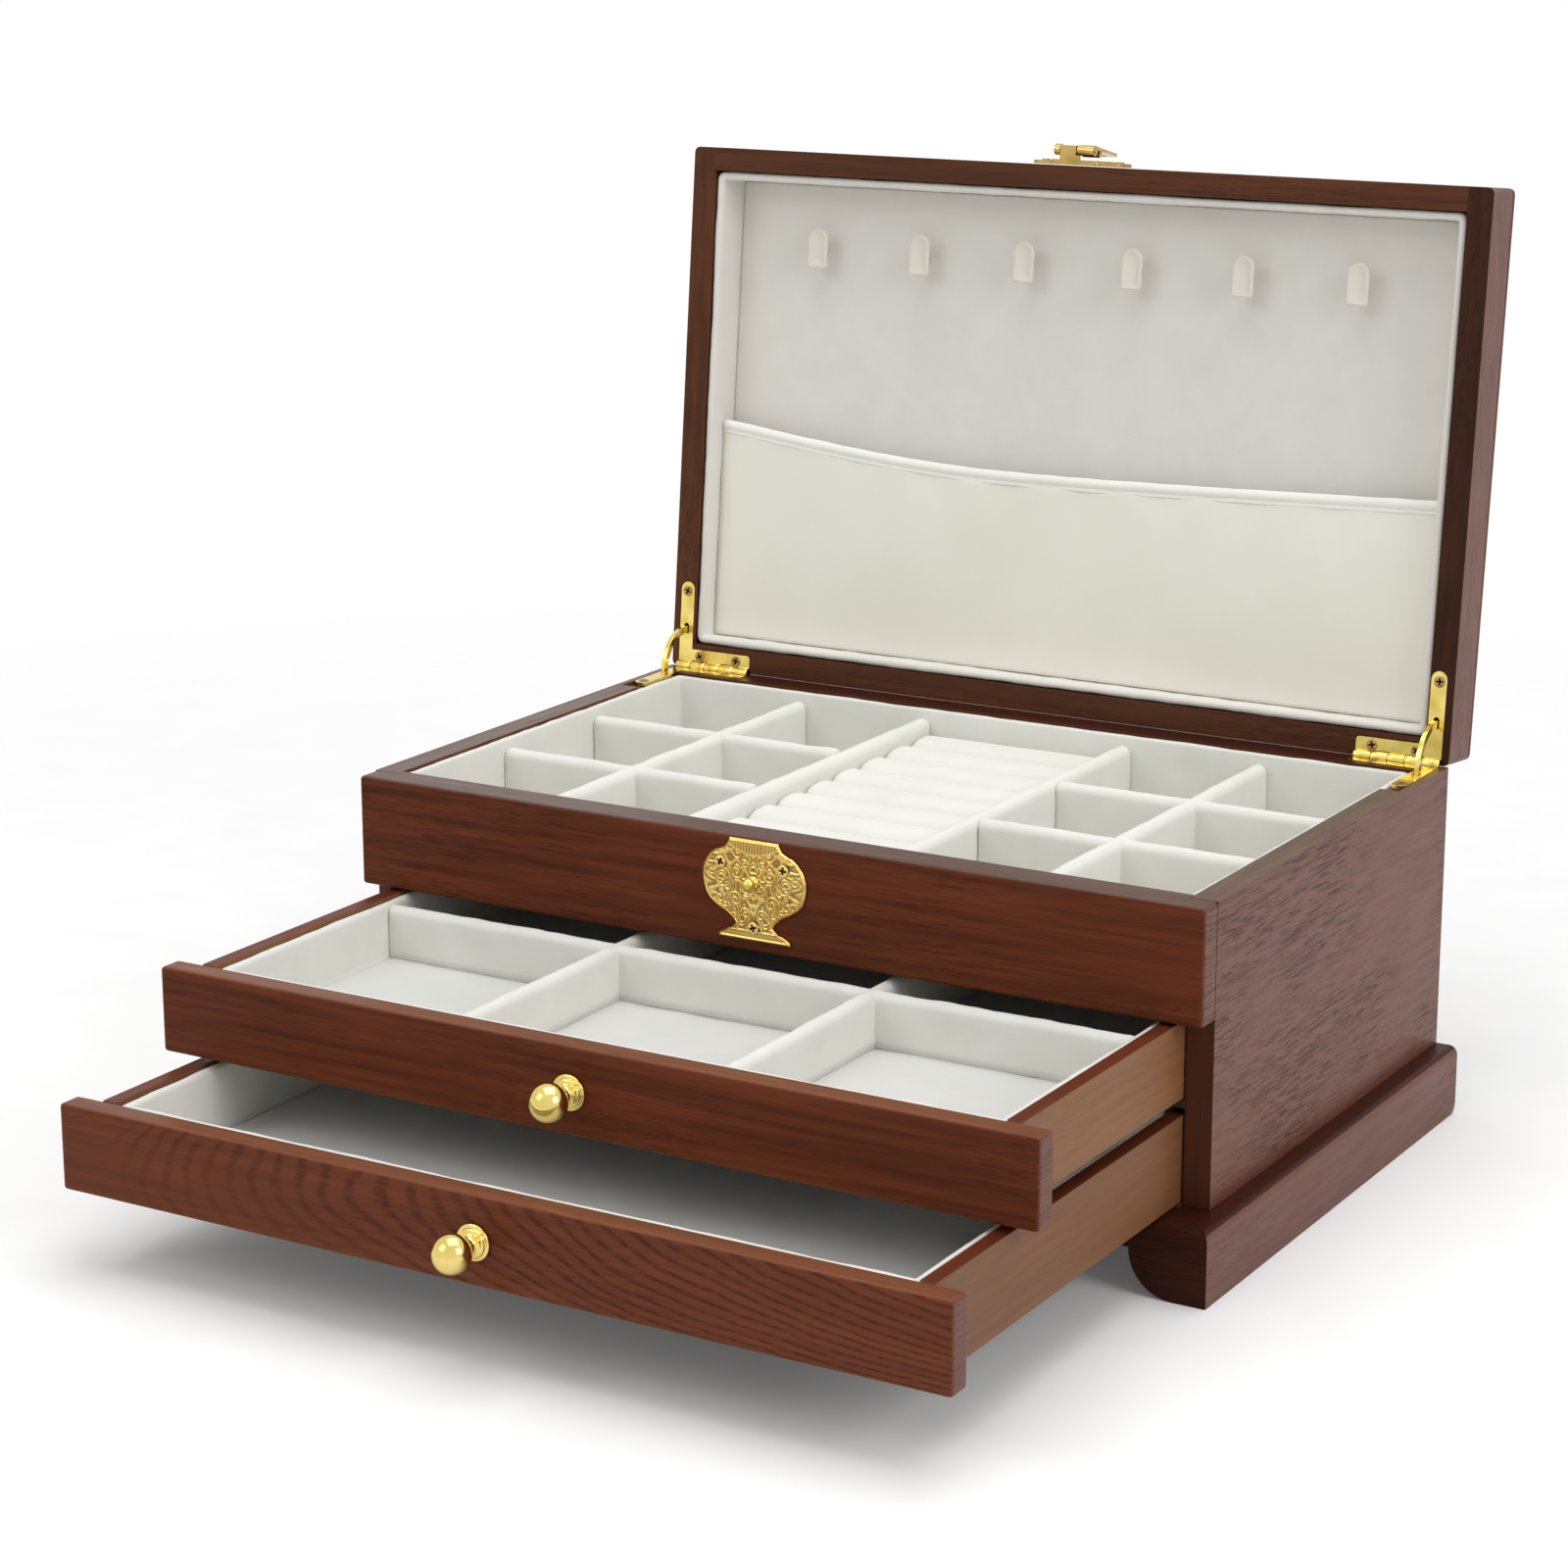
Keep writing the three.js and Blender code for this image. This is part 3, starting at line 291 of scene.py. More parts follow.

# %% [markdown]
# ## Velvet, cloth and brass
# Velvet is a pale diffuse surface with a sheen and a very fine, shallow bump; slow noise gives it
# the soft marks of brushed nap. The pocket's cloth is smoother and a little warmer, with two sets of
# fine waves for its weave. The brass is a polished plating whose roughness wanders slightly, and
# the pressed fittings have grainy relief. Painted shade darkens the recesses of a metal piece.

# %% Velvet, cloth and brass recipes
def velvet(name, pale, shade):
    """Short-pile cloth: a sheen over two close tones, with fine grain."""
    made, tree, shader = material(name)
    place = node(tree, "TexCoord").outputs["Object"]
    nap = speckle(tree, place, 42, 5, 0.62, 0.6)
    bump(tree, shader, speckle(tree, place, 2600, 2, 0.6), 0.35, 0.0002)
    feed(tree, shader, {"Base Color": ramp(tree, nap, [(0.3, shade), (0.7, pale)]), "Roughness": 0.95,
                        "Specular IOR Level": 0.15, "Sheen Weight": 0.25, "Sheen Roughness": 0.5})
    return made


def cloth(name, pale, shade):
    """Smooth stretched cloth: slow tone changes and a fine weave."""
    made, tree, shader = material(name)
    place = node(tree, "TexCoord").outputs["Object"]
    tone = speckle(tree, place, 14, 3)
    threads = [node(tree, "TexWave", {"Vector": place, "Scale": 520}, bands_direction=way).outputs["Fac"]
               for way in ("X", "Z")]
    bump(tree, shader, math_node(tree, "ADD", *threads), 0.12, 0.0001)
    feed(tree, shader, {"Base Color": ramp(tree, tone, [(0.35, shade), (0.65, pale)]), "Roughness": 0.7,
                        "Specular IOR Level": 0.2})
    return made


def metal(name, pale, shade, rough=0.2, grain=0.0, painted_shade=(0.1, 0.05, 0.02)):
    """Plated metal whose tone wanders; grain adds pressed relief, and painted shade darkens a piece's
    recesses.
    """
    made, tree, shader = material(name)
    place = node(tree, "TexCoord").outputs["Object"]
    wander = speckle(tree, place, 140, 2)
    # painted shade: each point's value from 0 to 1 mixes in the dark colour
    depth = node(tree, "Attribute", attribute_name="painted_shade").outputs["Fac"]
    plated = ramp(tree, wander, [(0.35, shade), (0.6, pale)])
    if grain:
        bump(tree, shader, speckle(tree, place, 900, 2, distortion=1.2), grain, 0.0003)
    polish = ramp(tree, wander, [(0.3, rough + 0.05), (0.7, rough)])
    feed(tree, shader, {"Base Color": blend_colours(tree, depth, plated, painted_shade), "Roughness": polish,
                        "Metallic": 1})
    return made


# %% [markdown]
# ## The box's cloths and metals
# The linings lie in different light, so their velvets are painted a few steps apart: the upper drawer's
# floor lies flat under the lamps and is painted greyest as shade, the lower drawer's floor lies in
# shade and is painted paler as light.

# %% Cloths and metals
made_before = len(bpy.data.materials)
lining_velvet = velvet("lining velvet", linear(230, 229, 223), linear(224, 223, 216))
# painted shade: the upper drawer's floor is greyer than its walls
upper_floor_velvet_painted_shade = velvet("floor velvet", linear(215, 215, 211), linear(209, 210, 206))
# painted light: the lower drawer's floor, in the upper drawer's shadow, is paler
lower_floor_velvet_painted_light = velvet("lower floor velvet", linear(244, 244, 240), linear(238, 239, 235))
lid_velvet = velvet("lid velvet", linear(230, 227, 221), linear(225, 222, 215))
hook_velvet = velvet("hook velvet", linear(232, 228, 216), linear(226, 221, 209))
band_velvet = velvet("band velvet", linear(250, 249, 243), linear(245, 244, 237))
pocket_cloth = cloth("pocket cloth", linear(241, 239, 228), linear(235, 233, 221))
brass = metal("polished brass", linear(244, 219, 130), linear(222, 195, 98), rough=0.15)
# painted shade: the hasp's brass is darker than the other brass, for a greyer room in its reflections
hasp_brass_painted_shade = metal("hasp brass", linear(196, 166, 98), linear(170, 140, 74), rough=0.2)
knob_brass = metal("knob brass", linear(232, 206, 124), linear(222, 194, 108), rough=0.13)
pressed_brass = metal("pressed brass", linear(238, 204, 122), linear(228, 188, 100), rough=0.2, grain=0.05)
# the last colour of each screw metal is the painted shade in its cross and rim
plate_screw_metal = metal("plate screw metal", linear(246, 216, 140), linear(236, 202, 122), rough=0.28,
                          painted_shade=(0.03, 0.015, 0.006))
screw_metal = metal("screw metal", linear(186, 154, 104), linear(160, 128, 82), rough=0.28,
                    painted_shade=(0.02, 0.011, 0.007))
print(len(bpy.data.materials) - made_before, "cloths and metals")

# %% [markdown]
# ## Dressing the wood and metal
# A real board has no razor edges: each corner is broken a little and catches a line of light. The
# model's faces are loose triangles, so they are first welded, then a fine bevel rounds the corners
# that are sharper than 35 degrees, and weighted normals keep the large faces flat. A board's ends
# and top edge catch the light and take the stain in their own way, so they can have own finishes;
# the plinth's front and top carry painted shade.

# %% Finish for every wood and metal part
SHARP = math.radians(35)


def dress(name, finish, edge, ends=None, top=None):
    """Gives a model part its finish, another one on its ends (left and right) and top, and soft edges.

    The open lid's front edge faces up and its back edge down, so both count as its top.
    """
    part = nodes[name]
    part.data.materials.clear()
    for one in (finish, ends or finish, top or finish):
        part.data.materials.append(one)
    for face in part.data.polygons:
        face.use_smooth = True
        upward = abs(face.normal.z) if name == "lid_frame" else face.normal.z
        face.material_index = 1 if abs(face.normal.x) > 0.7 else 2 if upward > 0.7 else 0
    part.modifiers.new("weld", "WELD").merge_threshold = 0.00001
    bevel = part.modifiers.new("bevel", "BEVEL")
    bevel.width, bevel.segments, bevel.limit_method = edge, 2, "ANGLE"
    bevel.angle_limit = SHARP
    part.modifiers.new("normals", "WEIGHTED_NORMAL").keep_sharp = True


finishes = {
    "front_fascia": (front_wood, 0.25, side_wood, rim_wood),
    "upper_drawer_front": (front_wood, 0.4, plinth_side_wood, top_wood),
    "lower_drawer_front": (figured_wood, 0.4, plinth_side_wood, top_wood),
    # painted shade: the darkened plinth woods go on the plinth's fronts and tops, and on the back panel's top
    "plinth_front": (foot_wood_painted_shade, 0.5, plinth_side_wood), "plinth_back": (foot_wood_painted_shade, 0.5),
    "plinth_left": (foot_wood_painted_shade, 0.5, plinth_side_wood, plinth_top_wood_painted_shade),
    "plinth_right": (foot_wood_painted_shade, 0.5, plinth_side_wood, plinth_top_wood_painted_shade),
    "left_side_panel": (post_wood, 0.25, side_wood, side_rim_wood),
    "right_side_panel": (post_wood, 0.25, side_wood, side_rim_wood),
    "back_panel": (back_wood, 0.03, back_wood, foot_wood_painted_shade), "lid_top_panel": (front_wood, 0.4),
    "lid_frame": (lid_wood, 0.03, lid_side_wood, lid_front_wood), "hasp_plate": (hasp_brass_painted_shade, 0.15),
    "hasp_flap": (hasp_brass_painted_shade, 0.15), "hasp_pin": (hasp_brass_painted_shade, 0.12),
}
HIDDEN_BOARDS = ("tray_floor_board", "drawer_shelf", "bottom_board", "upper_drawer_bottom",
                 "lower_drawer_bottom")
for name in nodes:
    if name in HIDDEN_BOARDS:
        finishes[name] = (board_wood, 0.3)
    elif name.endswith(("_left_side", "_right_side", "_back")) and "drawer" in name:
        side = lower_drawer_wood if name.startswith("lower") else drawer_wood
        finishes[name] = (side, 0.4, side, drawer_rim_wood)
    elif name.endswith("_leaf"):
        finishes[name] = (brass, 0.12)
    elif name.endswith("_stay"):
        finishes[name] = (brass, 0.3)
for name, (finish, edge, *others) in finishes.items():
    dress(name, finish, edge * MM, *others)
print(len(finishes), "parts dressed")

# %% [markdown]
# ## Making a piece
# Blender keeps a mesh as points and faces. All points of a piece are worked out at once as an array.
# Rings that shrink to a point or a line close a piece; the doubled points are then welded and all
# faces turned outwards.

# %% Pieces from points and faces
def piece(name, body, finish, vertices, faces, stands_for=(), painted_shade=None):
    """A smooth closed mesh from points and faces, riding on a body; its painted shade darkens points by 0 to
    1.
    """
    mesh = bpy.data.meshes.new(name)
    mesh.from_pydata(np.asarray(vertices).tolist(), [], [list(face) for face in faces])
    if painted_shade is not None:
        depth = mesh.attributes.new("painted_shade", "FLOAT", "POINT")
        depth.data.foreach_set("value", np.asarray(painted_shade, np.float32).ravel())
    welded = bmesh.new()
    welded.from_mesh(mesh)
    bmesh.ops.remove_doubles(welded, verts=welded.verts, dist=1e-6)
    bmesh.ops.recalc_face_normals(welded, faces=welded.faces)
    welded.to_mesh(mesh)
    welded.free()
    mesh.polygons.foreach_set("use_smooth", np.ones(len(mesh.polygons), bool))
    mesh.materials.append(finish)
    new = bpy.data.objects.new(name, mesh)
    bpy.context.scene.collection.objects.link(new)
    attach(new, body)
    if stands_for:
        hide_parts(*stands_for)
    return new


def loft_faces(count, around):
    """The four-sided faces between `count` rings of `around` points each."""
    ring, step = np.meshgrid(np.arange(count - 1), np.arange(around), indexing="ij")
    here, beside = ring * around + step, ring * around + (step + 1) % around
    return np.stack([here, beside, beside + around, here + around], -1).reshape(-1, 4)


def grid_faces(rows, columns):
    """The four-sided faces of a grid of points, and the numbers of the points round its rim."""
    index = np.arange(rows * columns).reshape(rows, columns)
    cells = np.stack([index[:-1, :-1], index[:-1, 1:], index[1:, 1:], index[1:, :-1]], -1).reshape(-1, 4)
    rim = np.concatenate([index[0, :-1], index[:-1, -1], index[-1, :0:-1], index[:0:-1, 0]])
    return cells, rim


def slab(front, rear):
    """Points and faces of a plate between two grids of points, joined round their rims."""
    cells, rim = grid_faces(*front.shape[:2])
    behind = front.shape[0] * front.shape[1]
    walls = np.stack([rim, np.roll(rim, -1), np.roll(rim, -1) + behind, rim + behind], -1)
    points = np.concatenate([front.reshape(-1, 3), rear.reshape(-1, 3)])
    return points, np.concatenate([cells, cells[:, ::-1] + behind, walls])


print("a plate of 3 by 4 points has", len(slab(np.zeros((3, 4, 3)), np.ones((3, 4, 3)))[1]), "faces")

# %% [markdown]
# ## Soft surfaces
# Velvet over card is never quite flat. Sine waves in random directions add up to a smooth random
# height, and each point moves by it along its own normal, by a tenth of a millimetre or so.

# %% Rings and ripples
def rectangle_ring(x0, x1, y0, y1, radius, steps_x, steps_y, steps_corner=4):
    """Points round a rectangle whose corners are quarter circles of the given radius."""
    sides, parts = [], []
    for start, end, steps in (((x0 + radius, y0), (x1 - radius, y0), steps_x),
                              ((x1, y0 + radius), (x1, y1 - radius), steps_y),
                              ((x1 - radius, y1), (x0 + radius, y1), steps_x),
                              ((x0, y1 - radius), (x0, y0 + radius), steps_y)):
        share = np.linspace(0, 1, steps, endpoint=False)[:, None]
        sides.append(np.array(start) * (1 - share) + np.array(end) * share)
    centres = ((x1 - radius, y0 + radius), (x1 - radius, y1 - radius),
               (x0 + radius, y1 - radius), (x0 + radius, y0 + radius))
    for quarter, (side, centre) in enumerate(zip(sides, centres)):
        angle = (np.linspace(0, 1, steps_corner, endpoint=False) + quarter - 1) * math.pi / 2
        arc = np.stack([centre[0] + radius * np.cos(angle), centre[1] + radius * np.sin(angle)], -1)
        parts += [side, arc]
    return np.concatenate(parts)


def ripple(points, length, seed):
    """A smooth random height near -1..1: eight sine waves in random directions, about `length` long."""
    random = np.random.default_rng(seed)
    total = np.zeros(len(points))
    for _ in range(8):
        direction = random.normal(size=3)
        direction /= np.linalg.norm(direction)
        wave = 2 * math.pi / (length * random.uniform(0.6, 1.7))
        total += np.sin(points @ direction * wave + random.uniform(0, 2 * math.pi))
    return total / 4


def soften(target_piece, amount, length, seed):
    """Moves every point along its own normal by a smooth random height."""
    mesh = target_piece.data
    places, normals = np.zeros(len(mesh.vertices) * 3), np.zeros(len(mesh.vertices) * 3)
    mesh.vertices.foreach_get("co", places)
    mesh.vertex_normals.foreach_get("vector", normals)
    places, normals = places.reshape(-1, 3), normals.reshape(-1, 3)
    places += normals * (ripple(places, length, seed) * amount)[:, None]
    mesh.vertices.foreach_set("co", places.ravel())
    mesh.update()


print("points round a liner's ring:", len(rectangle_ring(0, 0.3, 0, 0.2, 0.002, 93, 62)))

# %% [markdown]
# ## The lid, down and up
# The lid's pieces are easiest to draw with the lid closed, where they lie flat. The model holds them
# as the open lid stands, so its parts are first laid back about the hinge, and new points are turned
# up the same way.

# %% Laying the lid down and up
LID_SWING = math.radians(hinge["range_deg"][1])


def swung(points, angle):
    """Points turned about the hinge's line by an angle: x stays, y and z go round."""
    pivot, cos, sin = np.array(hinge["pos_m"]), math.cos(angle), math.sin(angle)
    return (np.asarray(points) - pivot) @ np.array([[1, 0, 0], [0, cos, -sin], [0, sin, cos]]).T + pivot


def opened(points):
    """Points drawn on the closed lid, turned to where the open lid stands."""
    return swung(points, -LID_SWING)


def opened_direction(x, y, z):
    """A direction drawn on the closed lid, as it points on the open one."""
    start, end = opened([(0, 0, 0), (x, y, z)])
    return end - start


def points_of(name):
    """All corners of a model part."""
    flat = np.zeros(len(nodes[name].data.vertices) * 3)
    nodes[name].data.vertices.foreach_get("co", flat)
    return flat.reshape(-1, 3)


def closed_points(name):
    """All corners of a part of the lid, laid back to where they are on the closed lid."""
    return swung(points_of(name), LID_SWING)


def closed_box(name):
    """The lowest and the highest corner of a part of the lid, with the lid closed."""
    return closed_points(name).min(0), closed_points(name).max(0)


print("the closed lid lies between", *(corner.round(4).tolist() for corner in closed_box("lid_frame")))

# %% [markdown]
# ## Velvet liners
# A liner is card wrapped in velvet and dropped into the wood. Its rings climb the outer wall, roll
# over the rounded top edge, go down the inner wall, dip into a narrow groove round the floor card and
# shrink over it until they meet. A slight ripple along the normals keeps it from looking machined.

# %% Liner shape
def liner(name, body, finish, box, wall, floor, mapping=None, corner=2.2, seed=1, pad=None):
    """A velvet-covered tray that fills a box and opens upwards; `pad` is its floor's own velvet, toned to
    paint in the light that falls there.

    Its profile of (inset, height) points sets one rectangle for each, with corners of `corner` mm.
    """
    (x0, y0, z0), (x1, y1, z1) = box
    half_wall, floor_z = wall / 2, z0 + floor
    groove_width, groove_depth, card_round, mesh_step = 0.55 * MM, 0.9 * MM, 0.5 * MM, 3.2 * MM
    card = wall + groove_width
    profile = [(0.0, z0)] + [(0.0, height) for height in np.linspace(z0 + 1 * MM, z1 - half_wall, 4)]
    profile += [(half_wall - half_wall * math.cos(a), z1 - half_wall + half_wall * math.sin(a))
                for a in np.linspace(0, math.pi, 9)[1:]]
    profile += [(wall, height) for height in np.linspace(z1 - half_wall, floor_z - groove_depth, 8)[1:]]
    profile += [(card, floor_z - groove_depth), (card, floor_z - card_round)]
    profile += [(card + card_round * (1 - math.cos(a)), floor_z - card_round * (1 - math.sin(a)))
                for a in np.linspace(0, math.pi / 2, 4)[1:]]
    short = min(x1 - x0, y1 - y0) / 2
    profile += [(inset, floor_z) for inset in np.linspace(card + 2 * MM, short, 14)]
    profile = [(short, z0), (short * 0.5, z0)] + profile
    steps_x, steps_y = int((x1 - x0) / mesh_step), int((y1 - y0) / mesh_step)
    rings = []
    for inset, height in profile:
        radius = max(min(corner * MM - inset * 0.8, short - inset), min(0.3 * MM, short - inset))
        ring = rectangle_ring(x0 + inset, x1 - inset, y0 + inset, y1 - inset, radius, steps_x, steps_y)
        rings.append(np.column_stack([ring, np.full(len(ring), height)]))
    points = np.concatenate(rings)
    faces = loft_faces(len(rings), len(rings[0]))
    if mapping:
        points = mapping(points)
    made = piece(name, body, finish, points, faces, [name.replace("velvet_", "")])
    # the floor faces take the pad's velvet, toned with the light painted in for that floor
    if pad:
        made.data.materials.append(pad)
        for face in made.data.polygons:
            face.material_index = int(face.normal.z > 0.7 and face.center.z < floor_z + 0.2 * MM)
    soften(made, 0.12 * MM, 9 * MM, seed)
    soften(made, 0.14 * MM, 38 * MM, seed + 1)
    return made


tray = liner("velvet_tray_lining", "case", lining_velvet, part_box("tray_lining"), 2.2 * MM, 2.0 * MM, seed=3)
for drawer, seed, pad in (("upper_drawer", 11, upper_floor_velvet_painted_shade), ("lower_drawer", 21, lower_floor_velvet_painted_light)):
    liner(f"velvet_{drawer}_lining", drawer, lining_velvet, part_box(drawer + "_lining"), 3.2 * MM, 1.6 * MM,
          seed=seed, pad=pad)
print("tray liner faces:", len(tray.data.polygons))

# %% [markdown]
# ## Dividers
# Each divider is a card strip wrapped in velvet, so its top is a half round and its ends are soft.
# Its cross-section ring runs up one side, over the top and down the other; the ring shrinks slightly
# at both ends.

# %% Divider shape
def divider(name, body, along_x, seed, wobble=0.16):
    """A velvet-wrapped strip that fills its model part's box: a round-topped ring carried along it."""
    low, high = (np.array(corner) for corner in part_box(name))
    axis, across = (0, 1) if along_x else (1, 0)
    half = (high[across] - low[across]) / 2
    middle = (high[across] + low[across]) / 2
    arc = np.linspace(0, math.pi, 11)
    rise = high[2] - half - low[2]
    side = np.linspace(0, 1, 6)[:-1] * rise
    offsets = np.concatenate([np.full(5, 1.0), np.cos(arc), np.full(5, -1.0)]) * half
    heights = np.concatenate([side, rise + half * np.sin(arc), side[::-1]])
    length = high[axis] - low[axis]
    stations = np.concatenate([[0, 0, 0.15, 0.5, 1.1], np.arange(3, length / MM - 2.9, 3.0),
                               length / MM - np.array([1.1, 0.5, 0.15, 0, 0])]) * MM
    shrink = np.ones(len(stations))
    shrink[:5], shrink[-5:] = [0, 0.72, 0.86, 0.95, 1], [1, 0.95, 0.86, 0.72, 0]
    rings = np.zeros((len(stations), len(offsets), 3))
    rings[:, :, axis] = (low[axis] + stations)[:, None]
    rings[:, :, across] = middle + offsets[None] * shrink[:, None]
    core = rise * 0.5
    rings[:, :, 2] = low[2] + core + (heights[None] - core) * (1 - (1 - shrink[:, None]) * 0.12)
    rings[0, :, 2] = rings[-1, :, 2] = low[2] + core
    made = piece("velvet_" + name, body, lining_velvet, rings.reshape(-1, 3),
                 loft_faces(len(stations), len(offsets)), [name])
    soften(made, wobble * MM, 14 * MM, seed)
    soften(made, 0.07 * MM, 4 * MM, seed + 50)
    return made


for seed, name in enumerate(sorted(nodes)):
    if "divider" in name:
        owner = "upper_drawer" if name.startswith("upper_drawer") else "case"
        divider(name, owner, "cross" in name, 100 + seed)
print(sum("divider" in name for name in nodes), "dividers")

# %% [markdown]
# ## Ring rolls
# Nine foam rolls lie side by side under one velvet, with a tight crease between them that holds the
# rings. Across the pad the height follows a flattened half round per roll; towards the dividers each
# roll rounds down.

# %% Ring roll pad
ROLLS, CREASE_DEPTH, END_ROUNDING, END_DROP = 9, 6.2 * MM, 3.2 * MM, 3.4 * MM
low, high = (np.array(corner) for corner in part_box("ring_roll_pad"))
along, over = np.linspace(-1, 1, 61), np.linspace(0, 1, ROLLS * 18 + 1)
position = (over * ROLLS) % 1.0
position[-1] = 1.0
within = np.abs(2 * position - 1)
roll = high[2] - CREASE_DEPTH + CREASE_DEPTH * np.clip(1 - within ** 2.6, 0, 1) ** 0.5
half_length = (high[0] - low[0]) / 2
edge = np.clip((np.abs(along) * half_length - (half_length - END_ROUNDING)) / END_ROUNDING, 0, 1)
drop = END_DROP * (1 - np.sqrt(1 - edge ** 2))
middle = (low + high) / 2
grid_x, grid_y = np.meshgrid(middle[0] + along * half_length, low[1] + over * (high[1] - low[1]))
grid_z = np.maximum(roll[:, None] - drop[None], low[2] + 5 * MM)
top = np.stack([grid_x, grid_y, grid_z], -1).reshape(-1, 3)
cells, rim = grid_faces(*grid_x.shape)
skirt = top[rim] * [1, 1, 0] + [0, 0, low[2]]
base = len(top) + np.arange(len(rim))
walls = np.stack([np.roll(rim, -1), rim, base, np.roll(base, -1)], -1)
middle_point = np.array([[middle[0], middle[1], low[2]]])
fan = np.stack([base, np.roll(base, -1), np.full(len(base), len(top) + len(rim))], -1)
faces = [*cells, *walls, *fan]
mesh_points = np.concatenate([top, skirt, middle_point])
rolls = piece("velvet_ring_rolls", "case", lining_velvet, mesh_points, faces, ["ring_roll_pad"])
soften(rolls, 0.16 * MM, 22 * MM, 61)
print("ring roll faces:", len(rolls.data.polygons))

# %% [markdown]
# ## The lid's lining
# The lid is lined as the tray is, only shallower. It is drawn on the closed lid, where its opening
# faces down, and then turned up with the lid.

# %% Lid lining
low, high = closed_box("lid_lining")


def hung_down(points):
    """Turns a liner that opens upwards over, so that it opens down, and sets it in the open lid."""
    flipped = points.copy()
    flipped[:, 2] = low[2] + high[2] - points[:, 2]
    return opened(flipped)


lid_liner = liner("velvet_lid_lining", "lid", lid_velvet, (low, high), 2.8 * MM, 1.8 * MM, hung_down,
                  corner=3.0, seed=31)
print("lid liner faces:", len(lid_liner.data.polygons))

# %% [markdown]
# ## Necklace hooks
# A hook is a small padded tab with a round top. Its rings grow from the middle of the back to its
# edge, roll round and shrink again over the front, which is pressed in slightly. A narrow stem
# behind it holds it off the lining.

# %% Hooks
corner_ring = rectangle_ring(-1, 1, -1, 1, 0.6, 2, 2)


def tab_ring(width, height, scale):
    """Points round a tab: straight sides, a half-round far end and small corners at the near end."""
    radius = width / 2
    arc = np.linspace(0, math.pi, 13)
    round_end = np.stack([radius * np.cos(arc), height / 2 - radius + radius * np.sin(arc)], -1)
    side = np.linspace(height / 2 - radius, -height / 2 + 0.8 * MM, 7)[1:]
    left = np.stack([np.full(6, -radius), side], -1)
    bottom = np.stack([np.linspace(-radius + 0.4 * MM, radius - 0.4 * MM, 7), np.full(7, -height / 2)], -1)
    right_side = np.stack([np.full(6, radius), side[::-1]], -1)
    ring = np.concatenate([round_end, left, bottom, right_side])
    shrink = np.array([radius - scale, height / 2 - scale]) / np.array([radius, height / 2])
    return ring * np.maximum(shrink, 0.0)


def hook(name, seed):
    """A padded tab on a stem in place of the model's hook."""
    low, high = closed_box(name)
    width, height = high[0] - low[0] + 0.5 * MM, high[1] - low[1]
    centre = (low + high) / 2
    front = low[2] + 2.2 * MM
    rings = []
    for inset, depth in ((9, 0.8), (1.2, 0.8), (0.3, 0.9), (0, 1.2), (0, 1.6), (0.15, 1.95), (0.5, 2.2),
                         (0.9, 2.1), (1.25, 1.8), (9, 1.8)):
        inset, depth = min(inset * MM, width / 2), depth * MM
        ring = tab_ring(width, height, inset)
        rings.append(np.column_stack([centre[0] + ring[:, 0], centre[1] - ring[:, 1],
                                      np.full(len(ring), front - depth)]))
    tab = np.concatenate(rings)
    faces = loft_faces(len(rings), len(rings[0]))
    stem = []
    for half, depth in ((0, 0.8), (0.8, 0.8), (0.8, 3), (0.9, 6.4), (0.9, 6.8), (0, 6.8)):
        ring = np.array([centre[:2]]) + 0.8 * MM * np.array([0, 1]) + half * MM * corner_ring
        stem.append(np.column_stack([ring, np.full(len(ring), min(low[2] + depth * MM, high[2]))]))
    stem_faces = loft_faces(len(stem), len(stem[0])) + len(tab)
    made = piece("velvet_" + name, "lid", hook_velvet, opened(np.concatenate([tab] + stem)),
                 np.concatenate([faces, stem_faces]), [name])
    soften(made, 0.02 * MM, 5 * MM, seed)
    return made


for number in range(1, 7):
    last_hook = hook(f"necklace_hook_{number}", 200 + number)
print("faces of one hook:", len(last_hook.data.polygons))

# %% [markdown]
# ## The stretched pocket
# One flat cloth is stretched over the lower half of the lid, held at three sides, its free edge
# sagging in a shallow curve under a stitched velvet band. The cloth has a front and a back face a
# millimetre apart, swells a little in its middle, and shows weak pull marks below the band.

# %% Pocket cloth
low, high = closed_box("lid_pocket")
edge_points = closed_points("lid_pocket")
edge_points = edge_points[np.abs(edge_points[:, 2] - low[2]) < 1e-6]
edge_points = edge_points[edge_points[:, 1] < high[1] - 1 * MM]
edge_points = edge_points[np.argsort(edge_points[:, 0])]


def edge_line(x):
    """Where the pocket's free edge lies across the lid, at each x."""
    return np.interp(x, edge_points[:, 0], edge_points[:, 1])


ACROSS, UPWARD, CLOTH = 140, 48, 0.9 * MM
share_x, share_y = np.meshgrid(np.linspace(0, 1, ACROSS), np.linspace(0, 1, UPWARD))
x = low[0] + share_x * (high[0] - low[0])
y = high[1] + (edge_line(x) - high[1]) * share_y
swell = 1.5 * MM * np.sin(math.pi * share_x) ** 0.7 * np.sin(math.pi * np.clip(share_y, 0, 1)) ** 0.8
pull = 0.25 * MM * np.sin(x / MM * 0.21 + 3 * share_y) * share_y ** 3 * np.sin(math.pi * share_x)
depth = low[2] - swell * 0.8 - pull
points, faces = slab(np.stack([x, y, depth], -1), np.stack([x, y, depth + CLOTH], -1))
pocket = piece("cloth_lid_pocket", "lid", pocket_cloth, opened(points), faces, ["lid_pocket"])

# %% [markdown]
# ## The pocket's band
# The free edge is bound in velvet: one padded cross-section, with a stitched groove near its edge, is
# carried along the edge line and shrinks to a point at both ends.

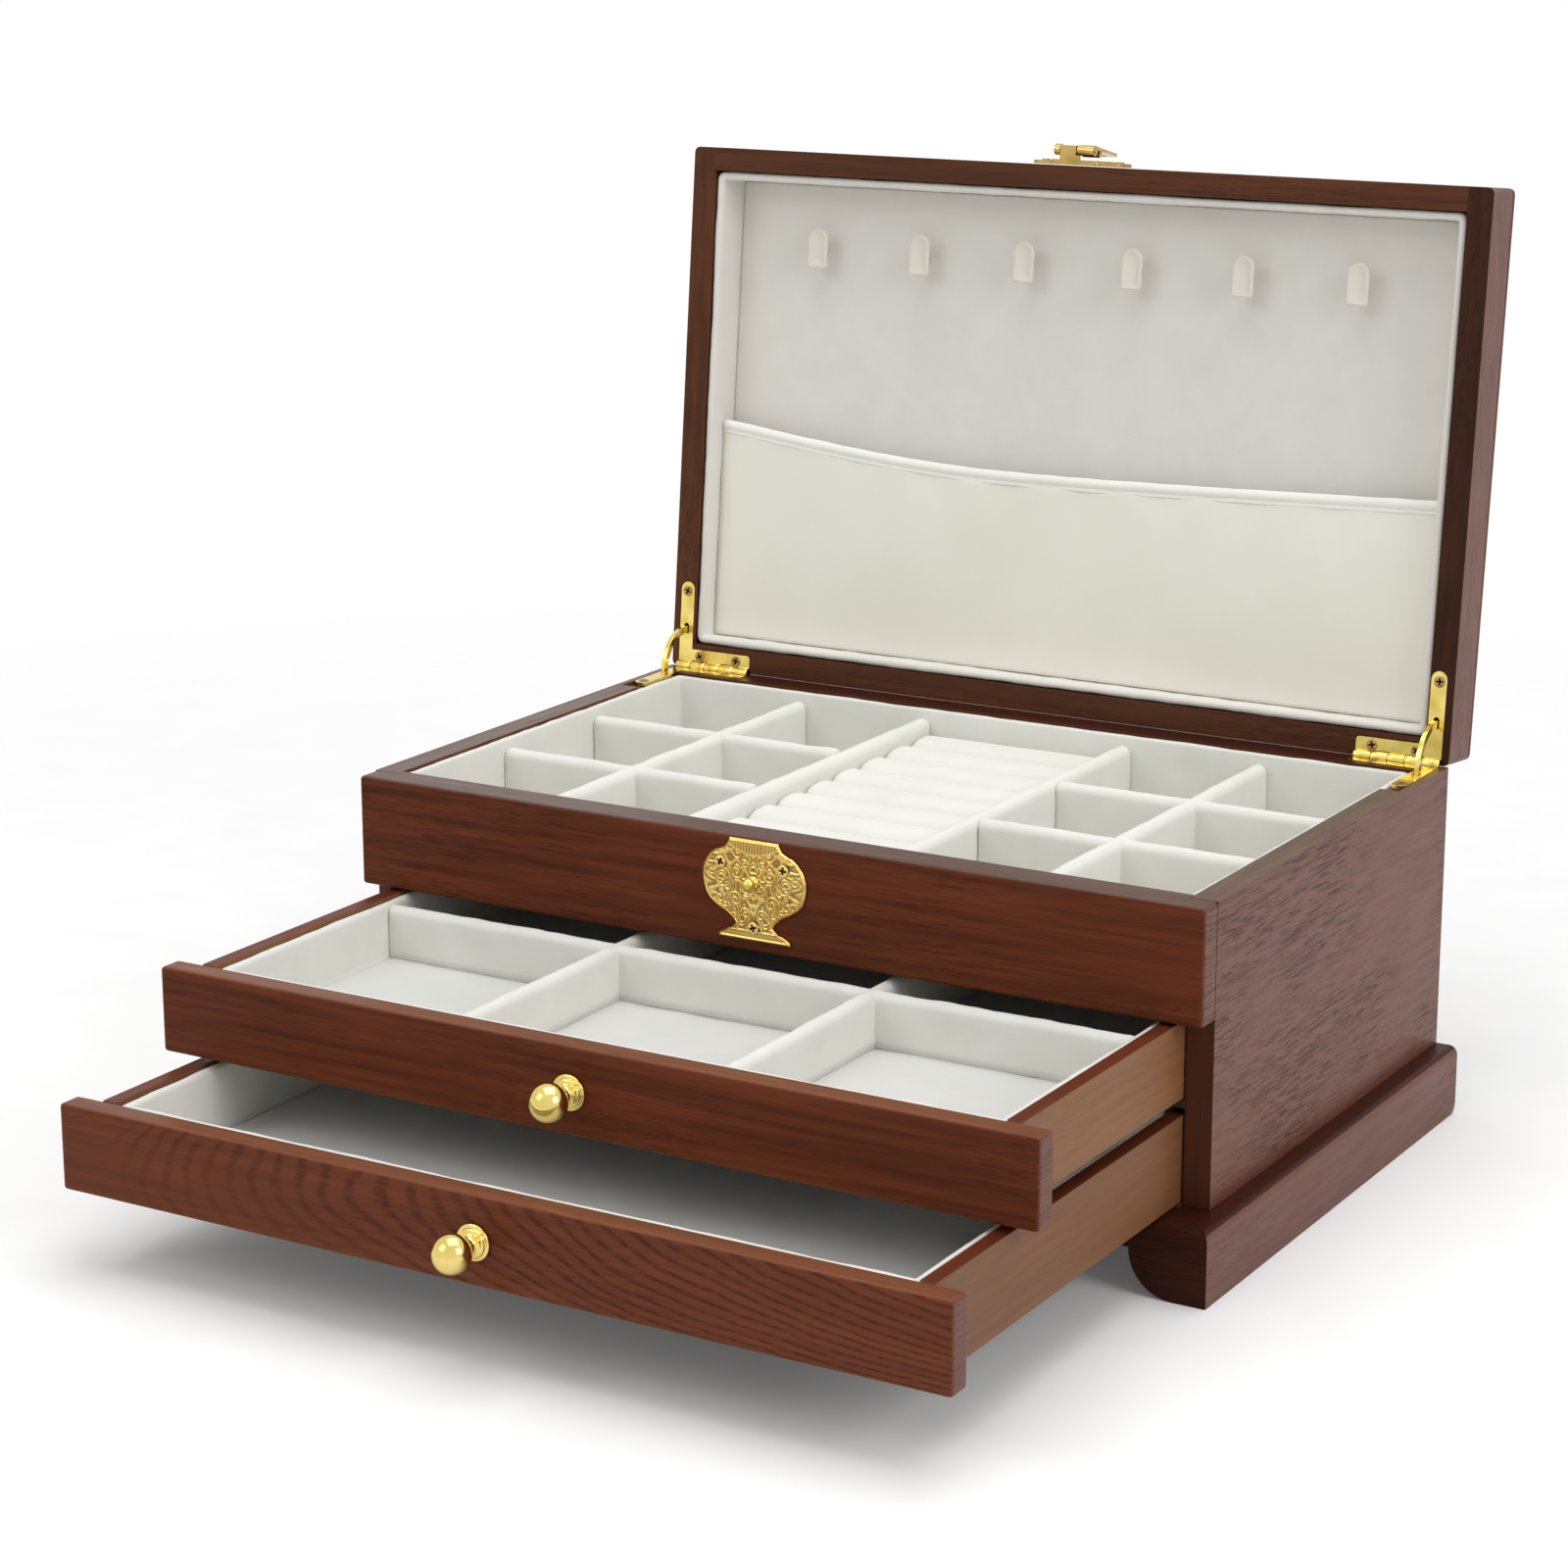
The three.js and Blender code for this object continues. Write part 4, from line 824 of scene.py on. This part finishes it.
# %% Pocket band
STATIONS = 120
band_low, band_high = closed_box("pocket_band")
band_x = np.linspace(band_low[0], band_high[0], STATIONS)
start = edge_line(band_x) + 0.9 * MM
section = np.array([[0.0, 0.0], [0.0, -0.75], [0.45, -0.9], [1.1, -0.72], [1.35, -0.62], [1.6, -0.9],
                    [2.4, -1.35], [3.3, -1.4], [4.2, -1.05], [4.75, -0.2], [4.6, 0.7], [3.9, 1.15],
                    [2.8, 1.2], [1.4, 0.8], [0.3, 0.5]]) * MM
centre = section.mean(0)
size = np.concatenate([[0.0], np.ones(STATIONS), [0.0]])[:, None, None]
shapes = centre + (section - centre) * size
station = np.clip(np.arange(-1, STATIONS + 1), 0, STATIONS - 1)
rings = np.stack([band_x[station][:, None] + 0 * shapes[:, :, 0], start[station][:, None] - shapes[:, :, 0],
                  (band_low[2] + band_high[2]) / 2 + shapes[:, :, 1]], -1)
band = piece("velvet_pocket_band", "lid", band_velvet, opened(rings.reshape(-1, 3)),
             loft_faces(STATIONS + 2, len(section)), ["pocket_band"])
soften(band, 0.12 * MM, 12 * MM, 71)
print("pocket band faces:", len(band.data.polygons))

# %% [markdown]
# ## Turned brass: knobs and the catch's stud
# A turned part is one profile swung round an axis. The knob is a ball on a thin neck over a
# stepped flange; its profile is drawn with enough points to round every corner.

# %% Knobs and stud
def turned(name, body, finish, profile, centre, stands_for, around=56):
    """A profile of (radius, height) points in millimetres, swung round an axis that faces the front."""
    angle = np.linspace(0, 2 * math.pi, around, endpoint=False)
    radius, height = np.array(profile).T * MM
    rings = np.stack([centre[0] + radius[:, None] * np.cos(angle), centre[1] - height[:, None] + 0 * angle,
                      centre[2] + radius[:, None] * np.sin(angle)], -1)
    faces = loft_faces(len(radius), around)
    return piece(name, body, finish, rings.reshape(-1, 3), faces, stands_for)


def ball(radius, place, neck, steps=18):
    """The profile of a ball from where it leaves its neck to its tip."""
    angles = np.linspace(math.asin(neck / radius), math.pi, steps)
    arc = [(radius * math.sin(angle), place - radius * math.cos(angle)) for angle in angles[:-1]]
    return arc + [(0.0, place + radius)]


knob_profile = [(0, 0), (5.4, 0), (5.5, 0.15), (5.5, 1.0), (5.35, 1.25), (5.0, 1.35), (4.5, 1.4), (4.42, 1.5),
                (4.4, 1.95), (4.25, 2.15), (3.6, 2.3), (2.9, 2.6), (2.4, 3.1), (2.15, 3.8), (2.1, 4.6),
                (2.15, 5.3)] + ball(5.8, 11.0, 2.3)
for drawer in ("upper_drawer", "lower_drawer"):
    low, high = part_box(drawer + "_knob")
    turned(f"turned_{drawer}_knob", drawer, knob_brass, knob_profile,
           ((low.x + high.x) / 2, high.y, (low.z + high.z) / 2), [drawer + "_knob"])
low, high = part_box("catch_stud")
stud_profile = [(0, 0), (2.0, 0), (2.05, 0.15), (1.9, 0.45), (1.4, 0.6), (1.25, 0.9)]
stud_profile += ball(1.95, 2.7, 1.2, 14)
turned("turned_catch_stud", "case", brass, stud_profile,
       ((low.x + high.x) / 2, high.y, (low.z + high.z) / 2), ["catch_stud"], 36)
print("points on the knob's profile:", len(knob_profile))

# %% [markdown]
# ## The pressed catch plate
# The plate is a sheet of brass pressed into relief. Its outline comes from the model: a fine grid is
# stretched sideways at each height to the half width there, and each point knows how far it is from
# the edge.

# %% Catch plate grid
WIDE, TALL = 234, 206
outline = points_of("escutcheon")
low, high = outline.min(0), outline.max(0)
right_edge = outline[outline[:, 0] > 0.5 * MM]
right_edge = right_edge[np.argsort(right_edge[:, 2])]
share_u, share_v = np.meshgrid(np.linspace(-1, 1, WIDE), np.linspace(0, 1, TALL))
z = low[2] + share_v * (high[2] - low[2])
half_width = np.interp(z, right_edge[:, 2], right_edge[:, 0])
x = share_u * half_width
px, pz = x / MM, (z - low[2]) / MM
top_mm = (high[2] - low[2]) / MM
to_edge = np.minimum(np.minimum(half_width / MM - np.abs(px), pz), top_mm - pz)
print("catch plate:", round(2 * half_width.max() / MM, 1), "by", round(top_mm, 1), "millimetres")

# %% [markdown]
# ## The plate's relief
# The relief is a height for every point of the grid: a raised rim, upright flutes over the neck, a
# stippled foot, and on the body mirrored scrolls, each a raised line along a spiral. Between them the
# contour lines of a smooth random height wind about like a maze.

# %% Catch plate pattern
def bump_line(distance, width):
    """A raised line: one on the line, falling off like a bell curve of the given width."""
    return np.exp(-(distance / width) ** 2)


def spiral(cx, cz, start_radius, end_radius, turns, phase):
    """Points round a centre, whose distance from it shrinks as the angle grows."""
    share = np.linspace(0, 1, 90)
    angle = phase + turns * 2 * math.pi * share
    radius = start_radius + (end_radius - start_radius) * share ** 0.85
    return np.stack([cx + radius * np.cos(angle), cz + radius * np.sin(angle)], -1)


SCROLLS = ((11.2, 18.6, 4.0, 1.7, 0.6), (6.0, 21.4, 2.6, 1.4, 2.4), (6.4, 12.6, 3.1, 1.6, -0.9),
           (12.0, 12.6, 2.2, 1.2, 1.6), (2.8, 8.4, 2.0, 1.3, 0.2), (6.8, 7.4, 1.7, 1.2, 3.0),
           (2.6, 16.6, 1.8, 1.2, -1.8), (15.0, 20.6, 1.6, 1.1, 2.2), (3.0, 24.0, 1.5, 1.1, 1.0))
NECK, NECK_SAG, NECK_HALF, FOOT, SOFT, LINE = 4.7, 2.6, 8.8, 2.9, 0.2, 0.26
rim_line = bump_line(to_edge - 0.75, 0.3)
neck_line = top_mm - NECK + NECK_SAG * (px / NECK_HALF) ** 2
in_neck = np.clip((pz - neck_line) / SOFT, 0, 1)
in_foot = np.clip((FOOT - pz) / SOFT, 0, 1)
borders = np.maximum(bump_line(pz - neck_line, LINE) * (0.75 + 0.25 * np.cos(px * 9)),
                     bump_line(pz - FOOT - SOFT, LINE))
flutes = in_neck * (0.5 + 0.5 * np.cos(2 * math.pi * px))
stipple = in_foot * (0.5 + 0.5 * np.sin(px * 7.0) * np.sin(pz * 7.0))
on_body = (1 - in_neck) * (1 - in_foot)
nearest = np.full(px.shape, np.inf)
for cx, cz, outer, turns, phase in SCROLLS:
    line = spiral(cx, cz, outer, 0.35, turns, phase)
    gap = np.hypot(np.abs(px)[..., None] - line[:, 0], pz[..., None] - line[:, 1]).min(-1)
    nearest = np.minimum(nearest, gap)
mirrored_grid = np.stack([np.abs(x), 0 * x, z], -1).reshape(-1, 3)
maze = 0.5 + 0.5 * np.cos(2 * math.pi * 1.5 * ripple(mirrored_grid, 6 * MM, 5).reshape(x.shape))
pattern = np.maximum(bump_line(nearest, 0.3), 0.8 * maze ** 1.5 * np.clip((nearest - 0.45) / 0.25, 0, 1))
pattern = np.maximum(on_body * pattern, np.maximum(0.7 * flutes, 0.6 * stipple))
pattern = np.maximum(pattern * np.clip((to_edge - 1.15) / 0.2, 0, 1), np.maximum(rim_line, borders))
print("share of the plate that is raised:", round(float((pattern > 0.5).mean()), 2))

# %% [markdown]
# ## The plate itself
# The pattern is laid on a sheet that swells slightly and rounds off at its edge. A piece of metal
# that carries a painted-shade value on its points is darker where it is above zero, so the plate
# gets painted shade in the valleys between the raised lines.

# %% Catch plate
SHEET, RELIEF = 0.6, 0.42
dome = 0.12 * np.clip(to_edge / 7, 0, 1) ** 0.7
border = 0.2 * np.clip(to_edge / 0.4, 0, 1) ** 0.5
lift = (SHEET + border + dome + RELIEF * pattern * np.clip(to_edge / 0.3, 0, 1)) * MM
# painted shade in the valleys between the raised lines
painted_shade = 0.65 * np.clip(1 - 1.5 * pattern, 0, 1) * np.clip((to_edge - 0.9) / 0.3, 0, 1)
points, faces = slab(np.stack([x, high[1] - lift, z], -1), np.stack([x, np.full_like(x, high[1]), z], -1))
plate = piece("pressed_catch_plate", "case", pressed_brass, points, faces, ["escutcheon"],
              np.stack([painted_shade, 0 * painted_shade]))
print("catch plate faces:", len(plate.data.polygons))

# %% [markdown]
# ## Screws
# Small countersunk screws with a cross recess hold the hinges and fittings. A head is a shallow
# dome, nearly flat where it has to fit between two closed leaves; where a point lies in the cross
# its height drops, and the cross and the rim are darkened with painted shade.

# %% Screw head
def screw(name, body, finish, centre, outward, angle, radius=1.9, rise=0.55):
    """A domed head with a cross recess at `centre`, facing `outward` and standing `rise` mm above it.

    Its rings are circles; their height is the root of one less the squared share of the radius.
    """
    share = np.array([0, 0.1, 0.18, 0.26, 0.34, 0.42, 0.5, 0.57, 0.64, 0.72, 0.8, 0.9, 0.97, 1.0, 1.0])
    turn_steps = np.linspace(0, 2 * math.pi, 48, endpoint=False)
    r = share[:, None] * radius
    a, b = r * np.cos(turn_steps), r * np.sin(turn_steps)
    height = rise * np.sqrt(np.clip(1 - (share[:, None] * 0.97) ** 2, 0, 1)) + 0 * a
    narrow, wide = np.minimum(np.abs(a), np.abs(b)) / radius, np.maximum(np.abs(a), np.abs(b)) / radius
    recess = np.clip((0.24 - narrow) / 0.08, 0, 1) * np.clip((0.7 - wide) / 0.08, 0, 1)
    # painted shade: the cross and the rim's edge are darkened
    dark = np.maximum(recess, 0.6 * (share[:, None] > 0.94) + 0 * a)
    height = height - 0.85 * rise * recess
    height[-1] = -0.3
    normal = Vector(outward).normalized()
    first = normal.orthogonal().normalized()
    first.rotate(Matrix.Rotation(angle, 3, normal))
    second = normal.cross(first)
    rings = (np.array(centre) + (a[..., None] * np.array(first) + b[..., None] * np.array(second)
                                 + height[..., None] * np.array(normal)) * MM)
    faces = loft_faces(len(share), len(turn_steps))
    return piece(name, body, finish, rings.reshape(-1, 3), faces, painted_shade=dark)


# %% [markdown]
# ## Where the screws sit
# Three hold the catch plate, three and two each pair of hinge leaves, four the hasp. Their places
# are measured from the rim, from the box's back and from the hasp's lower edge.

# %% All screws
face_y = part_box("escutcheon")[0].y
for number, (x_mm, z_mm) in enumerate(((-11.6, 108.9), (10.7, 108.9), (0, 89.2))):
    place = (x_mm * MM, face_y - 0.3 * MM, z_mm * MM)
    screw(f"plate_screw_{number + 1}", "case", plate_screw_metal, place, (0, -1, 0), 0.4 * number + 0.3, 2.0)
rim_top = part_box("right_side_panel")[1].z
back_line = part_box("back_panel")[1].y
lid_outward = opened_direction(0, 0, -1)
for side, word in ((1, "right"), (-1, "left")):
    for number, (x_mm, up_mm) in enumerate(((123, 4), (138.5, 4), (144.7, 27.5))):
        place = opened((side * x_mm * MM, back_line - up_mm * MM, rim_top + 0.55 * MM))
        screw(f"{word}_lid_leaf_screw_{number + 1}", "lid", screw_metal, place, lid_outward,
              0.7 * number + side, rise=0.18)
    for number, (x_mm, up_mm) in enumerate(((125, 4), (144.7, 27.5))):
        place = (side * x_mm * MM, back_line - up_mm * MM, rim_top + 0.05 * MM)
        screw(f"{word}_case_leaf_screw_{number + 1}", "case", screw_metal, place, (0, 0, 1),
              0.5 * number + side, rise=0.18)
hasp_low, hasp_high = closed_box("hasp_plate")
lid_forward = opened_direction(0, -1, 0)
for number, (x_mm, up_mm) in enumerate(((-12.3, 4.1), (12.3, 4.1), (-12.3, 11), (12.3, 11))):
    place = opened((x_mm * MM, hasp_high[1] - 1.25 * MM, hasp_low[2] + up_mm * MM))
    screw(f"hasp_screw_{number + 1}", "lid", screw_metal, place, lid_forward, 0.6 * number, 1.5)

# %% [markdown]
# ## Hinge knuckles
# Each hinge has five knuckles on one pin, the lid's and the case's by turns. They are swung round
# their axis again here, a hair larger than the model's, so that they are truly round and their ends
# are softly chamfered.

# %% Hinge knuckles
KNUCKLES, KNUCKLE_GAP = 5, 0.15 * MM
hinge_y, hinge_z = hinge["pos_m"][1:]
leaf_low, leaf_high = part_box("right_lid_leaf")
first_end = leaf_low.x - KNUCKLE_GAP
pitch = (leaf_high.x + KNUCKLE_GAP - first_end) / KNUCKLES
near_end = np.array([(0, 0), (1.62, 0), (1.82, 0.06), (1.93, 0.25), (1.93, 1)]) * MM
far_end = near_end[3::-1] * [1, -1]
radius = np.concatenate([near_end, far_end])[:, 0]
angle = np.linspace(0, 2 * math.pi, 48, endpoint=False)
for side, word in ((1, "right"), (-1, "left")):
    for owner, numbers in (("lid", (0, 2, 4)), ("case", (1, 3))):
        points, faces = [], []
        for number in numbers:
            start = first_end + number * pitch + KNUCKLE_GAP
            end = start + pitch - 2 * KNUCKLE_GAP
            along = np.concatenate([start + near_end[:, 1], end + far_end[:, 1]])
            rings = np.stack([side * along[:, None] + 0 * angle, hinge_y + radius[:, None] * np.cos(angle),
                              hinge_z + radius[:, None] * np.sin(angle)], -1)
            faces.append(loft_faces(len(along), len(angle)) + sum(len(part) for part in points))
            points.append(rings.reshape(-1, 3))
        points, faces = np.concatenate(points), np.concatenate(faces)
        piece(f"{word}_{owner}_knuckles", owner, brass, points, faces)
print("one knuckle is", round((pitch - 2 * KNUCKLE_GAP) / MM, 2), "millimetres long")

# %% [markdown]
# ## The floor
# The floor is a plain pale disc of paper. Towards its rim it turns clear, so that it fades into the
# white surroundings without an edge, and a trace of its own light lifts the shadow on it.

# %% Floor
FLOOR_RADIUS, FLOOR_GLOW = 3.0, 0.07
angle = np.linspace(0, 2 * math.pi, 96, endpoint=False)
ring = np.stack([np.cos(angle), np.sin(angle), 0 * angle], -1) * FLOOR_RADIUS
floor_mesh = bpy.data.meshes.new("floor")
floor_mesh.from_pydata(ring.tolist(), [], [list(range(len(ring)))])
floor = bpy.data.objects.new("floor", floor_mesh)
bpy.context.scene.collection.objects.link(floor)
made, tree, shader = material("floor paper")
place = node(tree, "TexCoord").outputs["Object"]
feed(tree, shader, {"Base Color": ramp(tree, speckle(tree, place, 30, 3), [(0.3, 0.9), (0.7, 0.93)]),
                    "Roughness": 0.9, "Specular IOR Level": 0.1, "Emission Color": (1, 1, 1, 1),
                    "Emission Strength": FLOOR_GLOW})
reach = node(tree, "VectorMath", {0: place}, operation="LENGTH").outputs["Value"]
fade = ramp(tree, math_node(tree, "DIVIDE", reach, FLOOR_RADIUS), [(0.12, 0.0), (0.3, 1.0)])
clear = node(tree, "BsdfTransparent")
mixed = node(tree, "MixShader", {0: fade, 1: shader.outputs[0], 2: clear.outputs[0]})
tree.links.new(mixed.outputs[0], tree.nodes["Material Output"].inputs["Surface"])
floor_mesh.materials.append(made)
print("floor is", 2 * FLOOR_RADIUS, "metres across")

# %% [markdown]
# ## The white surroundings
# The world is plain white. A Light Path node asks what kind of ray has reached it: rays from the
# camera, off polished metal and through clear surfaces see it at full white, while the light that it
# throws on the box is kept at half, so that the pale linings don't wash out.

# %% World
world = bpy.data.worlds.new("studio")
bpy.context.scene.world = world
world.use_nodes = True
tree = world.node_tree
background = tree.nodes["Background"]
background.inputs["Color"].default_value = (1, 1, 1, 1)
path = node(tree, "LightPath").outputs
seen = math_node(tree, "MAXIMUM", path["Is Camera Ray"], path["Is Glossy Ray"])
seen = math_node(tree, "MAXIMUM", seen, path["Is Transmission Ray"])
strength = math_node(tree, "MULTIPLY_ADD", seen, 0.5, 0.5)
tree.links.new(strength, background.inputs["Strength"])
bpy.context.scene.view_settings.view_transform = "Standard"
print("world nodes:", len(tree.nodes))

# %% [markdown]
# ## The lamps
# Large soft lamps stand in for a studio's soft boxes: one above and in front to the left, a wide one
# overhead, and one at the right that makes the side panel shine. Their size keeps the shadows soft.

# %% Lamps
def lamp(name, place, aim, width, height, power):
    """A rectangular soft lamp at `place`, turned towards `aim`."""
    data = bpy.data.lights.new(name, "AREA")
    data.shape, data.size, data.size_y, data.energy = "RECTANGLE", width, height, power
    new = bpy.data.objects.new(name, data)
    bpy.context.scene.collection.objects.link(new)
    turned_to_aim = (Vector(aim) - Vector(place)).to_track_quat("-Z", "Y").to_matrix().to_4x4()
    new.matrix_world = Matrix.Translation(Vector(place)) @ turned_to_aim
    return new


lamps = [lamp("front lamp", (-0.9, -1.3, 1.3), (0, 0, 0.1), 0.9, 0.9, 5.5),
         lamp("top lamp", (0.1, 0.1, 1.7), (0, 0, 0), 1.4, 1.4, 16),
         lamp("right lamp", (1.5, -0.3, 0.9), (0, 0, 0.1), 0.8, 0.8, 7.5)]
print("lamps give", sum(one.data.energy for one in lamps), "watts")
